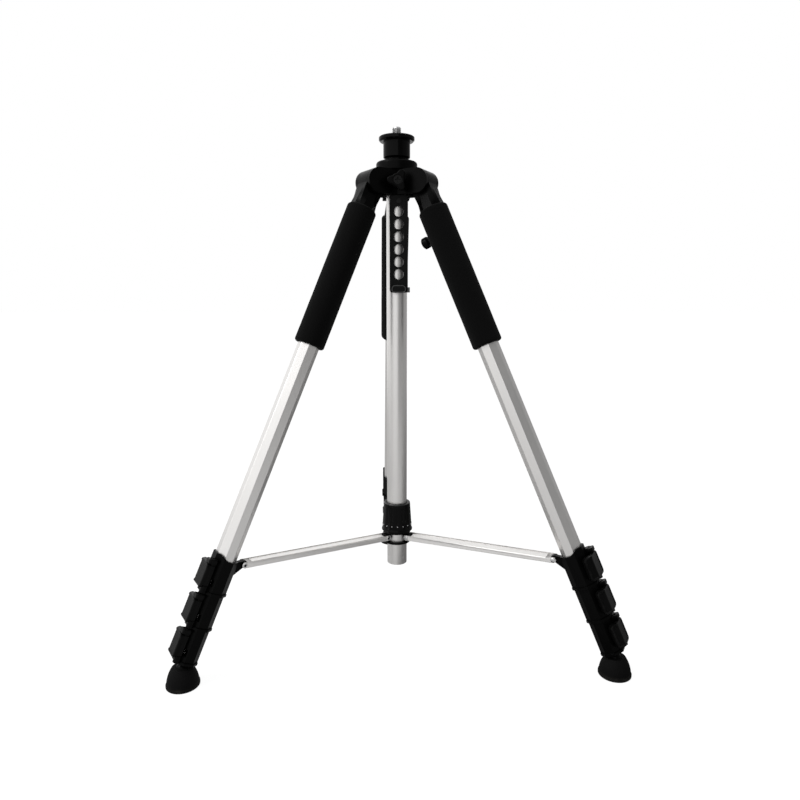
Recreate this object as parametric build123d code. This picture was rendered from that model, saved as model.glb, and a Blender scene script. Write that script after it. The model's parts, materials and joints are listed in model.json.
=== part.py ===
from build123d import *
from math import asin, cos, degrees, radians, sin, sqrt, tan
import os

# Light surveying tripod, legs spread, all leg sections pushed in.
# Millimetres, +Z up. The origin is on the floor, under the column axis.
# The front is -Y. The rear leg points along +Y.

# Clearances: fixed fits, running fits, clamps, and faces that pass each other
FIT = 0.05
RUN = 0.1
CLAMP_GAP = 0.12
SIDE_GAP = 0.35

# Legs: where they stand and how far they lean
LEG_AZIMUTH = {"left": 210, "right": 330, "rear": 90}
LEG_TILT = 24.6

# Leg tubes: octagons, across flats. Stations are measured down the leg from its hinge.
TUBE_ACROSS = 20.5
TUBE_WALL = 1.0
TUBE_GAP = 0.25
TUBE_TOP = 30.0
TUBE_STAGGER = 5.0
LOCKS_TOP = 405.0

# Foam grips
FOAM_START = 3.5
FOAM_LENGTH = 147.5
FOAM_THICKNESS = 5.25
FOAM_EDGE = 2.0

# Flip locks
LOCK_HEIGHT = 34.2
LOCK_SPACE = 0.4
LOCK_WALL = (2.0, 2.4, 2.8)
LOCK_GUIDE = 16.0
LOCK_RIM = 1.3
LOCK_RIM_HEIGHT = 2.4
LOCK_CREST = 5.0
LOCK_CREST_FLAT = 3.0
EAR_RADIUS = 3.2
EAR_SINK = 1.0
EAR_DROP = 0.6
EAR_RISE = 1.0
UPPER_EAR = 5.6
LOWER_EAR = 6.8
LEVER_PIN_RADIUS = 1.6
LEVER_PIN_OUT = 1.0
LEVER_PIN_BACK = 3.25
LEVER_RISE = 5.6
LEVER_DEPTH = 7.6
LEVER_SHELL = 2.4
LEVER_REACH = 1.0
LEVER_CORNER = 4.0
LEVER_GAP = 0.5
LEVER_LIP = 1.2
LEVER_LIP_HEIGHT = 2.2
LEVER_TOP_DROP = 0.6
CAM_RADIUS = 2.2
CAM_HEIGHT = 6.0
CAM_GAP = 0.3

# Swivel feet
FOOT_GAP = 0.295
FOOT_BALL_HEIGHT = 17.5
FOOT_BALL_RADIUS = 6.0
FOOT_STEM_RADIUS = 2.6
FOOT_CAP = 0.5
FOOT_RADIUS = 16.0
FOOT_SHOULDER = 9.6
FOOT_RIM_HEIGHT = 3.0
FOOT_RIM_BEVEL = 1.0
FOOT_BULGE = 2.2
FOOT_TOP_ABOVE_BALL = 2.0
FOOT_PLUG_LENGTH = 22.0

# Column, its guide tube and the head
GUIDE_RADIUS = 11.0
GUIDE_WALL = 1.0
GUIDE_BELOW_SLIDER = 32.5
GUIDE_END_ROUND = 0.8
GUIDE_SEAT = 10.0
COLUMN_GAP = 0.2
COLUMN_WALL = 1.2
COLUMN_RISE = 22.0
HEAD_GAP = 0.4
NECK_WALL = 3.0
NECK_HEIGHT = 3.4
HEAD_WALL = 4.2
HEAD_HEIGHT = 15.1
HEAD_GROOVE = 0.8
DISC_RADIUS = 18.6
DISC_HEIGHT = 6.4
DISC_CHAMFER = 2.0
STUD_RADIUS = 4.76
STUD_HEIGHT = 9.3
STUD_ROOT_RADIUS = 4.0
STUD_DEPTH = 12.0
STUD_RELIEF = 0.6
STUD_CHAMFER = 0.8

# Hub
HUB_HEIGHT = 28.7
HUB_BELOW_PIVOT = 16.2
HUB_WALL = 5.6
CHEEK_THICKNESS = 4.6
CHEEK_RADIUS = 12.4
BARREL_RADIUS = 12.4
BARREL_WIDTH = 19.0
SHANK_DEPTH = 20.5
SHANK_LENGTH = 12.0
SHANK_FLARE = 2.0
PLUG_LENGTH = 9.0
HINGE_PIN_RADIUS = 3.0
COLLAR_WALL = 10.5
COLLAR_HEIGHT = 9.6
COLLAR_SHOULDER = 3.5

# Column clamp
KNOB_BELOW_COLLAR = 13.0
KNOB_LOBE_RADIUS = 11.0
KNOB_LOBE_END = 3.4
KNOB_WAIST = 6.6
KNOB_THICKNESS = 7.0
KNOB_BEVEL = 0.8
KNOB_HUB_RADIUS = 5.6
KNOB_HUB_LENGTH = 2.15
BOSS_RADIUS = 6.4
BOSS_LENGTH = 5.9
SCREW_RADIUS = 2.9
SCREW_HEAD_RADIUS = 4.6
SCREW_HEAD_HEIGHT = 2.6
SCREW_HEAD_SUNK = 0.6
SCREW_CROSS_LENGTH = 5.2
SCREW_CROSS_WIDTH = 1.1
SCREW_CROSS_DEPTH = 1.6
SHOE_LENGTH = 3.2

# Strap and its button
STRAP_WIDTH = 19.0
STRAP_THICKNESS = 2.4
STRAP_CORNER = 3.0
STRAP_HOLE = 10.8
STRAP_PITCH = 12.8
STRAP_FIRST_HOLE = 16.2
STRAP_HOLES = 6
STRAP_END = 19.0
STRAP_OFFSET = 1.5
STRAP_HANG = 0.4
STRAP_RIM = 1.2
STRAP_RIM_WIDTH = 2.0
STRAP_RIM_STOP = 4.0
PULL_LENGTH = 13.4
PULL_HEIGHT = 7.0
PULL_RAISE = 2.4
PULL_ABOVE_END = 3.8
RIVET_RADIUS = 1.5
RIVET_HEAD = 2.8
RIVET_HEAD_HEIGHT = 1.3
RIVET_DROP = 6.0
TAB_THICKNESS = 0.9
TAB_GAP = 0.5
TAB_WIDTH = 9.0
TAB_LENGTH = 11.0
BUTTON_BELOW_FOAM_TOP = 24.5
BUTTON_RADIUS = 6.0
BUTTON_STEM = 3.0
BUTTON_STAND = 8.5
BUTTON_NECK = 1.5
BUTTON_BEVEL = 1.0

# Spreader
LUG_DROP = 1.0
LUG_REACH = 7.75
LUG_WIDTH = 5.0
LUG_END = 3.6
LUG_ROOT = 0.5
LUG_ROOT_HEIGHT = 15.0
ARM_SLOPE = 2.0
ARM_WIDTH = 8.4
ARM_HEIGHT = 8.0
ARM_WALL = 1.0
ARM_TAPER = 9.0
ARM_INNER_EAR = 9.0
ARM_INNER_END = 3.4
ARM_OUTER_EAR = 14.0
ARM_OUTER_END = 2.6
ARM_PIN_RADIUS = 1.5
PIN_HEAD_RADIUS = 2.2
PIN_HEAD_HEIGHT = 0.8
ARM_PIVOT_OUT = 3.6
SLIDER_GAP = 0.25
SLIDER_WALL = 1.8
SLIDER_FLANGE = 4.4
SLIDER_RING = 3.2
FLANGE_ABOVE_PIVOT = 4.4
RING_BELOW_PIVOT = 5.2
RING_HEIGHT = 2.4
SLIDER_LUG_RADIUS = 3.0
COLLET_SLOT = 1.6
NUT_ABOVE_PIVOT = 6.8
NUT_HEIGHT = 32.0
NUT_TOP_WALL = 1.75
NUT_BOTTOM_WALL = 3.35
NUT_FLARE_WALL = 4.15
NUT_FLARE_HEIGHT = 1.4
NUT_FLARE_SLOPE = 1.6
NUT_BAND_HEIGHT = 6.4
NUT_TOP_EDGE = 1.0
NUT_LIP = 3.0
NUT_FLUTES = 16
FLUTE_RADIUS = 2.0
FLUTE_OUT = 1.2
FLUTE_START = 9.0
FLUTE_STOP = 5.0


def tube_across(number):
    """Across flats of leg tube 1, the outer one, to 4."""
    return TUBE_ACROSS - (number - 1) * 2 * (TUBE_WALL + TUBE_GAP)


def lock_top(number):
    return LOCKS_TOP + (number - 1) * (LOCK_HEIGHT + LOCK_SPACE)


def lock_half(number):
    """Half of a lock body, across flats."""
    return tube_across(number) / 2 + LOCK_WALL[number - 1]


# Places that follow from the sizes above
FACET_TURN = 225
TILT = radians(LEG_TILT)
FOAM_TOP = TUBE_TOP + FOAM_START
FOAM_BOTTOM = FOAM_TOP + FOAM_LENGTH
FOAM_RADIUS = TUBE_ACROSS / 2 + FOAM_THICKNESS
BUTTON_STATION = FOAM_TOP + BUTTON_BELOW_FOAM_TOP
LOCKS_BOTTOM = lock_top(3) + LOCK_HEIGHT
TUBE_END = LOCKS_BOTTOM + 2 * LOCK_SPACE
FOOT_CLEARANCE = FOOT_TOP_ABOVE_BALL + FOOT_GAP + tube_across(4) / 2 * sin(TILT)
FOOT_BALL_STATION = TUBE_END + FOOT_CAP + FOOT_CLEARANCE / cos(TILT)
HUB_CORE_RADIUS = GUIDE_RADIUS + HUB_WALL
PIVOT_RADIUS = HUB_CORE_RADIUS + BARREL_RADIUS
PIVOT_Z = FOOT_BALL_HEIGHT + FOOT_BALL_STATION * cos(TILT)
HUB_BOTTOM = PIVOT_Z - HUB_BELOW_PIVOT
HUB_TOP = HUB_BOTTOM + HUB_HEIGHT
COLLAR_TOP = HUB_TOP + COLLAR_HEIGHT
BARREL_SPACE = BARREL_WIDTH / 2 + SIDE_GAP
CHEEK_OUT = BARREL_SPACE + CHEEK_THICKNESS

LUG_STATION = LOCKS_TOP + LUG_DROP
LUG_OFFSET = lock_half(1) + LUG_REACH
LUG_RADIUS = PIVOT_RADIUS + LUG_STATION * sin(TILT) - LUG_OFFSET * cos(TILT)
LUG_Z = PIVOT_Z - LUG_STATION * cos(TILT) - LUG_OFFSET * sin(TILT)
ARM_PIVOT_RADIUS = GUIDE_RADIUS + ARM_PIVOT_OUT
ARM_LENGTH = (LUG_RADIUS - ARM_PIVOT_RADIUS) / cos(radians(ARM_SLOPE))
SLIDER_Z = LUG_Z - ARM_LENGTH * sin(radians(ARM_SLOPE))
SLIDER_BORE = GUIDE_RADIUS + SLIDER_GAP
SLEEVE_RADIUS = SLIDER_BORE + SLIDER_WALL
NUT_BOTTOM = SLIDER_Z + NUT_ABOVE_PIVOT
NUT_TOP = NUT_BOTTOM + NUT_HEIGHT
SLEEVE_TOP = NUT_TOP - NUT_LIP - SIDE_GAP

GUIDE_TOP = HUB_BOTTOM + GUIDE_SEAT
GUIDE_BOTTOM = SLIDER_Z - GUIDE_BELOW_SLIDER
COLUMN_RADIUS = GUIDE_RADIUS - GUIDE_WALL - COLUMN_GAP
COLUMN_BOTTOM = GUIDE_BOTTOM + COLUMN_RISE
HEAD_BOTTOM = COLLAR_TOP + HEAD_GAP
NECK_RADIUS = COLUMN_RADIUS + NECK_WALL
NECK_TOP = HEAD_BOTTOM + NECK_HEIGHT
HEAD_RADIUS = COLUMN_RADIUS + HEAD_WALL
DISC_BOTTOM = NECK_TOP + HEAD_HEIGHT
DISC_TOP = DISC_BOTTOM + DISC_HEIGHT

KNOB_Z = HUB_TOP - KNOB_BELOW_COLLAR
BOSS_FRONT = HUB_CORE_RADIUS + BOSS_LENGTH
KNOB_BACK = BOSS_FRONT + SIDE_GAP + KNOB_HUB_LENGTH
KNOB_FRONT = KNOB_BACK + KNOB_THICKNESS
SHOE_BACK = COLUMN_RADIUS + CLAMP_GAP
SHOE_FRONT = SHOE_BACK + SHOE_LENGTH

STRAP_TOP = PIVOT_Z - CHEEK_RADIUS - STRAP_HANG
STRAP_LENGTH = STRAP_FIRST_HOLE + (STRAP_HOLES - 1) * STRAP_PITCH + STRAP_END
TAB_BACK = GUIDE_RADIUS + TAB_GAP
STRAP_BACK = TAB_BACK + TAB_THICKNESS
STRAP_FRONT = STRAP_BACK + STRAP_THICKNESS


def octagon(across):
    """An octagon with a flat facing outwards."""
    return RegularPolygon(across / 2, 8, major_radius=False, rotation=22.5)


def prism(sketch, low, high):
    return extrude(Pos(0, 0, low) * sketch, amount=high - low)


def ring(radius, low, high):
    return prism(Circle(radius), low, high)


def turned(profile):
    """A closed outline of radius and height, revolved about Z."""
    return revolve(make_face(Polyline(*[(x, 0, z) for x, z in profile], close=True)), Axis.Z)


def cross_bar(radius, width, x, z):
    """A round bar along Y, centred on the X-Z plane."""
    return Pos(x, 0, z) * Rot(90, 0, 0) * Cylinder(radius, width)


def slab(low, high):
    """A box between two corners."""
    size = [b - a for a, b in zip(low, high)]
    centre = [(a + b) / 2 for a, b in zip(low, high)]
    return Pos(*centre) * Box(*size)


def side_profile(points, width):
    """A closed outline in X-Z, given thickness along Y about the middle."""
    face = make_face(Polyline(*[(x, 0, z) for x, z in points], close=True))
    return extrude(face, amount=width / 2, dir=(0, 1, 0), both=True)


def on_leg(name, shape):
    """Takes a shape from a leg's own frame (hinge at 0, leg down -Z, X outwards)."""
    place = Rot(0, 0, LEG_AZIMUTH[name]) * Pos(PIVOT_RADIUS, 0, PIVOT_Z) * Rot(0, -LEG_TILT, 0)
    return place * shape


def save(shape, node):
    export_step(shape, f"parts/{node}.step")


# Hub and column

def hub_body():
    body = ring(HUB_CORE_RADIUS, HUB_BOTTOM, HUB_TOP)
    knob_axis = Plane.XZ * Pos(0, KNOB_Z)
    body += extrude(knob_axis * Circle(BOSS_RADIUS), amount=BOSS_FRONT)
    slots = []
    for azimuth in LEG_AZIMUTH.values():
        turn = Rot(0, 0, azimuth)
        low = (0, -CHEEK_OUT, PIVOT_Z - CHEEK_RADIUS)
        high = (PIVOT_RADIUS, CHEEK_OUT, PIVOT_Z + CHEEK_RADIUS)
        cheeks = slab(low, high) + cross_bar(CHEEK_RADIUS, 2 * CHEEK_OUT, PIVOT_RADIUS, PIVOT_Z)
        body += turn * cheeks
        clear = BARREL_RADIUS + SIDE_GAP
        slot = cross_bar(clear, 2 * BARREL_SPACE, PIVOT_RADIUS, PIVOT_Z)
        low = (PIVOT_RADIUS - clear, -BARREL_SPACE, HUB_BOTTOM - 1)
        high = (PIVOT_RADIUS + 2 * clear, BARREL_SPACE, HUB_TOP + 1)
        slot += slab(low, high)
        slot += cross_bar(HINGE_PIN_RADIUS, 3 * CHEEK_OUT, PIVOT_RADIUS, PIVOT_Z)
        slots.append(turn * slot)
    body -= slots
    body -= ring(COLUMN_RADIUS + COLUMN_GAP, HUB_BOTTOM - 1, HUB_TOP + 1)
    body -= ring(GUIDE_RADIUS + FIT, HUB_BOTTOM - 1, GUIDE_TOP)
    body -= extrude(knob_axis * Circle(SCREW_RADIUS + CLAMP_GAP), amount=BOSS_FRONT + 1)
    notch = STRAP_WIDTH / 2 + SIDE_GAP
    low = (STRAP_OFFSET - notch, -2 * HUB_CORE_RADIUS, HUB_BOTTOM - 1)
    return body - slab(low, (STRAP_OFFSET + notch, -GUIDE_RADIUS, PIVOT_Z - CHEEK_RADIUS))


def hub_collar():
    collar = ring(GUIDE_RADIUS + COLLAR_WALL, HUB_TOP, COLLAR_TOP)
    collar = fillet(collar.edges().group_by(Axis.Z)[-1], COLLAR_SHOULDER)
    return collar - ring(COLUMN_RADIUS + COLUMN_GAP, HUB_TOP - 1, COLLAR_TOP + 1)


def hinge_pins():
    pin = cross_bar(HINGE_PIN_RADIUS, 2 * CHEEK_OUT, PIVOT_RADIUS, PIVOT_Z)
    return Compound([Rot(0, 0, azimuth) * pin for azimuth in LEG_AZIMUTH.values()])


def guide_tube():
    tube = ring(GUIDE_RADIUS, GUIDE_BOTTOM, GUIDE_TOP)
    tube = fillet(tube.edges().group_by(Axis.Z)[0], GUIDE_END_ROUND)
    return tube - ring(GUIDE_RADIUS - GUIDE_WALL, GUIDE_BOTTOM - 1, GUIDE_TOP + 1)


def column_tube():
    tube = ring(COLUMN_RADIUS, COLUMN_BOTTOM, NECK_TOP)
    return tube - ring(COLUMN_RADIUS - COLUMN_WALL, COLUMN_BOTTOM - 1, NECK_TOP + 1)


def head():
    """Neck, grooved cylinder and flanged disc, bored for the column and the stud."""
    groove = HEAD_GROOVE
    body = turned(
        [
            (0, HEAD_BOTTOM),
            (NECK_RADIUS, HEAD_BOTTOM),
            (NECK_RADIUS, NECK_TOP - 2 * groove),
            (NECK_RADIUS - groove, NECK_TOP - groove),
            (HEAD_RADIUS - groove, NECK_TOP),
            (HEAD_RADIUS, NECK_TOP + groove),
            (HEAD_RADIUS, DISC_BOTTOM),
            (DISC_RADIUS - DISC_CHAMFER, DISC_BOTTOM),
            (DISC_RADIUS, DISC_BOTTOM + DISC_CHAMFER),
            (DISC_RADIUS, DISC_TOP - groove),
            (DISC_RADIUS - groove, DISC_TOP),
            (0, DISC_TOP),
        ]
    )
    body -= ring(COLUMN_RADIUS + FIT, HEAD_BOTTOM - 1, NECK_TOP)
    body -= ring(STUD_RADIUS + FIT, DISC_TOP - STUD_RELIEF, DISC_TOP + 1)
    return body - ring(STUD_ROOT_RADIUS, DISC_TOP - STUD_DEPTH, DISC_TOP)


def mount_stud():
    """A standard stud, with a thinner root screwed into the disc."""
    stud = ring(STUD_RADIUS, DISC_TOP, DISC_TOP + STUD_HEIGHT)
    stud = chamfer(stud.edges().group_by(Axis.Z)[-1], STUD_CHAMFER)
    return stud + ring(STUD_ROOT_RADIUS, DISC_TOP - STUD_DEPTH, DISC_TOP)


# Column clamp, seen from the front

def front(sketch, near, far):
    """A sketch about the knob's axis, between two distances in front of the column axis."""
    return extrude(Plane.XZ.offset(near) * Pos(0, KNOB_Z) * sketch, amount=far - near)


def clamp_knob():
    """Three round lobes joined by straight flanks, on a round hub."""
    lobes = Circle(KNOB_WAIST)
    for angle in (60, 180, 300):
        lobe = Pos(KNOB_LOBE_RADIUS - KNOB_LOBE_END, 0) * Circle(KNOB_LOBE_END)
        lobes += Rot(0, 0, angle) * make_hull((lobe + Circle(KNOB_WAIST - 1)).edges())
    knob = front(lobes, KNOB_BACK, KNOB_FRONT)
    knob = chamfer(knob.edges().group_by(Axis.Y)[0], KNOB_BEVEL)
    knob += front(Circle(KNOB_HUB_RADIUS), BOSS_FRONT + SIDE_GAP, KNOB_BACK)
    knob -= front(Circle(SCREW_RADIUS), 0, KNOB_FRONT + 1)
    return knob - front(Circle(SCREW_HEAD_RADIUS), KNOB_FRONT - SCREW_HEAD_HEIGHT, KNOB_FRONT + 1)


def knob_screw():
    seat = KNOB_FRONT - SCREW_HEAD_HEIGHT
    face = KNOB_FRONT - SCREW_HEAD_SUNK
    screw = front(Circle(SCREW_RADIUS), SHOE_FRONT + CLAMP_GAP, seat)
    screw += front(Circle(SCREW_HEAD_RADIUS), seat, face)
    cross = Rectangle(SCREW_CROSS_LENGTH, SCREW_CROSS_WIDTH)
    cross += Rectangle(SCREW_CROSS_WIDTH, SCREW_CROSS_LENGTH)
    return screw - front(cross, face - SCREW_CROSS_DEPTH, KNOB_FRONT)


def clamp_shoe():
    """A nylon pad that the screw presses on the column."""
    shoe = front(Circle(SCREW_RADIUS), SHOE_BACK - SHOE_LENGTH, SHOE_FRONT)
    return shoe - ring(SHOE_BACK, HUB_BOTTOM, HUB_TOP)


# Strap

def strap_sheet(sketch, near, far):
    return extrude(Plane.XZ.offset(near) * Pos(STRAP_OFFSET, STRAP_TOP) * sketch, amount=far - near)


def strap():
    """A rubber strap with a row of holes, raised edges and a thick pull at its end."""
    half = STRAP_WIDTH / 2
    sheet = Pos(0, -STRAP_LENGTH / 2) * RectangleRounded(STRAP_WIDTH, STRAP_LENGTH, STRAP_CORNER)
    belt = strap_sheet(sheet, STRAP_BACK, STRAP_FRONT)
    for side in (-1, 1):
        rim = Pos(side * (half - STRAP_RIM_WIDTH / 2), -STRAP_LENGTH / 2)
        rim *= Rectangle(STRAP_RIM_WIDTH, STRAP_LENGTH - 2 * STRAP_RIM_STOP)
        belt += strap_sheet(rim, STRAP_FRONT, STRAP_FRONT + STRAP_RIM)
    pull = Pos(0, PULL_ABOVE_END - STRAP_LENGTH) * SlotOverall(PULL_LENGTH, PULL_HEIGHT)
    belt += strap_sheet(pull, STRAP_FRONT, STRAP_FRONT + PULL_RAISE)
    holes = Pos(0, -RIVET_DROP) * Circle(RIVET_RADIUS + FIT)
    for number in range(STRAP_HOLES):
        holes += Pos(0, -STRAP_FIRST_HOLE - number * STRAP_PITCH) * Circle(STRAP_HOLE / 2)
    return belt - strap_sheet(holes, 0, 2 * STRAP_FRONT)


def strap_rivet():
    """A rivet through the top of the strap, on the backing tab that hangs it from the hub."""
    place = Pos(0, -RIVET_DROP)
    tab = Pos(0, -TAB_LENGTH / 2) * Rectangle(TAB_WIDTH, TAB_LENGTH)
    head_top = STRAP_FRONT + RIVET_HEAD_HEIGHT
    rivet = strap_sheet(place * Circle(RIVET_RADIUS), TAB_BACK, head_top)
    rivet += strap_sheet(place * Circle(RIVET_HEAD), STRAP_FRONT, head_top)
    return rivet + strap_sheet(tab, TAB_BACK, STRAP_BACK)


def leg_button():
    """A round button on a stem, through the grip of the right leg."""
    along = Pos(0, 0, -BUTTON_STATION) * Rot(0, -90, 0)
    outside = FOAM_RADIUS + BUTTON_STAND
    button = along * ring(BUTTON_STEM, TUBE_ACROSS / 2 + FIT, outside)
    cap = along * ring(BUTTON_RADIUS, FOAM_RADIUS + BUTTON_NECK, outside)
    cap = chamfer(cap.edges().group_by(Axis.X)[0], BUTTON_BEVEL)
    return button + cap


# Legs, each in its own frame

def leg_fitting():
    """Hinge barrel, faceted neck, and the plug that the outer tube is fixed on."""
    shank = Rectangle(SHANK_DEPTH, BARREL_WIDTH)
    end = octagon(TUBE_ACROSS + 2 * SHANK_FLARE)
    inside = octagon(TUBE_ACROSS - 2 * TUBE_WALL - 2 * FIT)
    fitting = cross_bar(BARREL_RADIUS, BARREL_WIDTH, 0, 0)
    fitting += prism(shank, -SHANK_LENGTH, 0)
    fitting += loft([Pos(0, 0, -TUBE_TOP) * end, Pos(0, 0, -SHANK_LENGTH) * shank])
    fitting += prism(inside, -TUBE_TOP - PLUG_LENGTH, 1 - TUBE_TOP)
    return fitting - cross_bar(HINGE_PIN_RADIUS + FIT, 2 * BARREL_WIDTH, 0, 0)


def leg_tube(number):
    """A leg tube. Tube 1 seats in the top fitting, the others hang inside it."""
    across = tube_across(number)
    top = TUBE_TOP
    if number > 1:
        top += PLUG_LENGTH + 1 + (number - 2) * TUBE_STAGGER
    bottom = lock_top(number) + LOCK_HEIGHT - LOCK_GUIDE if number < 4 else TUBE_END
    return prism(octagon(across) - octagon(across - 2 * TUBE_WALL), -bottom, -top)


def foot_stud():
    """A plug in the last tube, with the stem and ball that the foot turns on."""
    inside = tube_across(4) - 2 * TUBE_WALL - 2 * FIT
    plug = prism(octagon(inside), -TUBE_END, FOOT_PLUG_LENGTH - TUBE_END)
    cap = prism(octagon(tube_across(4)), -TUBE_END - FOOT_CAP, -TUBE_END)
    stem = prism(Circle(FOOT_STEM_RADIUS), -FOOT_BALL_STATION, -TUBE_END)
    ball = Pos(0, 0, -FOOT_BALL_STATION) * Sphere(FOOT_BALL_RADIUS)
    return plug + cap + stem + ball


def foam_grip(name):
    grip = ring(FOAM_RADIUS, -FOAM_BOTTOM, -FOAM_TOP)
    grip = chamfer(grip.edges().filter_by(GeomType.CIRCLE), FOAM_EDGE)
    grip -= prism(octagon(tube_across(1) + 2 * FIT), -FOAM_BOTTOM - 1, -FOAM_TOP + 1)
    if name == "right":
        grip -= Pos(0, 0, -BUTTON_STATION) * Rot(0, -90, 0) * ring(BUTTON_STEM + FIT, 0, 2 * FOAM_RADIUS)
    return grip


def lever_pin(number):
    """X and Y of a lever's pin, which stands along the leg, beside an outer corner of its lock."""
    half = lock_half(number)
    return half + LEVER_PIN_OUT, half - LEVER_PIN_BACK


def pin_reach(number):
    """From a lever's pin to the leg's axis, square to the facet between them."""
    return sum(lever_pin(number)) / sqrt(2)


def from_pin(number, shape):
    """Moves a shape from the origin to a lever's pin, and turns its +X towards the nearest facet."""
    return Pos(*lever_pin(number), 0) * Rot(0, 0, FACET_TURN) * shape


def ear_heights(number):
    """Low and high of a lock's lower ear, then of its upper ear."""
    top = -lock_top(number)
    bottom = top - LOCK_HEIGHT
    lower = (bottom + EAR_RISE, bottom + EAR_RISE + LOWER_EAR)
    return lower, (top - EAR_DROP - UPPER_EAR, top - EAR_DROP)


def cam_reach(number):
    """From a lever's pin to the end of its cam, which all but touches the tube in the lock."""
    return pin_reach(number) - tube_across(number + 1) / 2 - CAM_GAP


def lock_body(number):
    """A collar on one tube that guides the next, with ears for its lever and a window for the cam."""
    half = lock_half(number)
    top = -lock_top(number)
    bottom = top - LOCK_HEIGHT
    lower, upper = ear_heights(number)
    body = prism(octagon(2 * half), bottom, top)
    body += prism(octagon(2 * (half + LOCK_RIM)), bottom, bottom + LOCK_RIM_HEIGHT)
    body -= slab((-2 * half, -2 * half, bottom - 1), (-half, 2 * half, top + 1))
    if number == 1:
        body += lock_crest()
    root = pin_reach(number) - half + EAR_SINK
    for low, high in (lower, upper):
        ear = ring(EAR_RADIUS, low, high) + slab((0, -EAR_RADIUS, low), (root, EAR_RADIUS, high))
        body += from_pin(number, ear)
    window_top = lower[1] + CAM_HEIGHT + 2 * SIDE_GAP
    body -= from_pin(number, ring(EAR_RADIUS + SIDE_GAP, lower[1], upper[0]))
    body -= from_pin(number, ring(cam_reach(number) + SIDE_GAP, lower[1], window_top))
    body -= from_pin(number, ring(LEVER_PIN_RADIUS + RUN, bottom - 1, top))
    body -= prism(octagon(tube_across(number) + 2 * FIT), bottom + LOCK_GUIDE, top + LOCK_CREST + 1)
    body -= prism(octagon(tube_across(number + 1) + 2 * TUBE_GAP), bottom - 1, top)
    if number == 1:
        body += spreader_lug()
    return body


def lock_crest():
    """A rim round the tube above the first lock, which rises to the outer side."""
    half = lock_half(1)
    top = -lock_top(1)
    slope = side_profile(
        [
            (0, top - 1),
            (half, top - 1),
            (half, top + LOCK_CREST),
            (half - LOCK_CREST_FLAT, top + LOCK_CREST),
            (0, top),
        ],
        3 * half,
    )
    return slope & prism(octagon(2 * half), top - 1, top + LOCK_CREST)


def spreader_lug():
    """A fin on the upper lock of a leg, which a spreader arm's fork stands over."""
    near = LUG_ROOT - lock_half(1)
    fin = side_profile(
        [
            (near, -LUG_STATION),
            (-LUG_OFFSET, -LUG_STATION + LUG_END),
            (-LUG_OFFSET - LUG_END, -LUG_STATION),
            (-LUG_OFFSET, -LUG_STATION - LUG_END),
            (near, -LUG_STATION - LUG_ROOT_HEIGHT),
        ],
        LUG_WIDTH,
    )
    return fin + cross_bar(LUG_END, LUG_WIDTH, -LUG_OFFSET, -LUG_STATION)


def lever_band(near, far, reach, end):
    """The space between two distances from the leg's axis, over the outer face and the facet beside it."""
    points = []
    for distance in (far, near):
        corner = (distance, -distance * tan(radians(22.5)))
        tip = ((distance - reach) / sqrt(2), -(distance + reach) / sqrt(2))
        run = [(distance, end), corner, tip]
        points += run if distance == far else run[::-1]
    return make_face(Polyline(*points, close=True))


def lock_lever(number):
    """A hollow finger plate round a corner of its lock, with a lip, a knuckle, a cam and its pin."""
    half = lock_half(number)
    inner = half + LEVER_GAP
    outer = inner + LEVER_DEPTH
    pocket = outer - LEVER_SHELL
    pin_x, pin_y = lever_pin(number)
    end = pin_y + EAR_RADIUS
    tip = -(outer + LEVER_REACH) / sqrt(2)
    high = -lock_top(number) - LEVER_TOP_DROP
    low = high - LOCK_HEIGHT + LEVER_TOP_DROP + LEVER_RISE
    plate = prism(lever_band(inner, outer, LEVER_REACH, end), low, high)
    plate -= prism(lever_band(half, pocket, LEVER_REACH - LEVER_SHELL, end + 1), low - 1, high + 1)
    lip = lever_band(outer - 1, outer + LEVER_LIP, LEVER_REACH, end)
    plate += prism(lip, high - LEVER_LIP_HEIGHT, high)
    outline = Pos((end + tip) / 2, (high + low) / 2) * RectangleRounded(end - tip, high - low, LEVER_CORNER)
    plate &= extrude(Plane.YZ * outline, amount=2 * outer)
    lower, upper = ear_heights(number)
    bottom = lower[1] + SIDE_GAP
    top = upper[0] - SIDE_GAP
    knuckle = from_pin(number, ring(EAR_RADIUS, bottom, top))
    knuckle += slab((pin_x, pin_y - EAR_RADIUS, bottom), (pocket + 1, end, top))
    nose = cam_reach(number) - CAM_RADIUS
    cam = slab((0, -CAM_RADIUS, bottom), (nose, CAM_RADIUS, bottom + CAM_HEIGHT))
    cam += Pos(nose, 0, 0) * ring(CAM_RADIUS, bottom, bottom + CAM_HEIGHT)
    pin = ring(LEVER_PIN_RADIUS, lower[0], upper[1])
    return plate + knuckle + from_pin(number, cam + pin)


def swivel_foot(name):
    """A rubber bell that stands flat on the floor, with a socket for the ball."""
    top = FOOT_BALL_HEIGHT + FOOT_TOP_ABOVE_BALL
    with BuildSketch(Plane.XZ) as section:
        with BuildLine():
            rim = Polyline(
                (0, 0),
                (FOOT_RADIUS - FOOT_RIM_BEVEL, 0),
                (FOOT_RADIUS, FOOT_RIM_BEVEL),
                (FOOT_RADIUS, FOOT_RIM_HEIGHT),
            )
            middle = (FOOT_RADIUS - FOOT_BULGE, (FOOT_RIM_HEIGHT + top) / 2)
            ThreePointArc(rim @ 1, middle, (FOOT_SHOULDER, top))
            Polyline((FOOT_SHOULDER, top), (0, top), (0, 0))
        make_face()
    bell = revolve(section.sketch, Axis.Z)
    bell -= Pos(0, 0, FOOT_BALL_HEIGHT) * Sphere(FOOT_BALL_RADIUS + RUN)
    radius = PIVOT_RADIUS + FOOT_BALL_STATION * sin(TILT)
    return Rot(0, 0, LEG_AZIMUTH[name]) * Pos(radius, 0, 0) * bell


# Spreader

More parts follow.
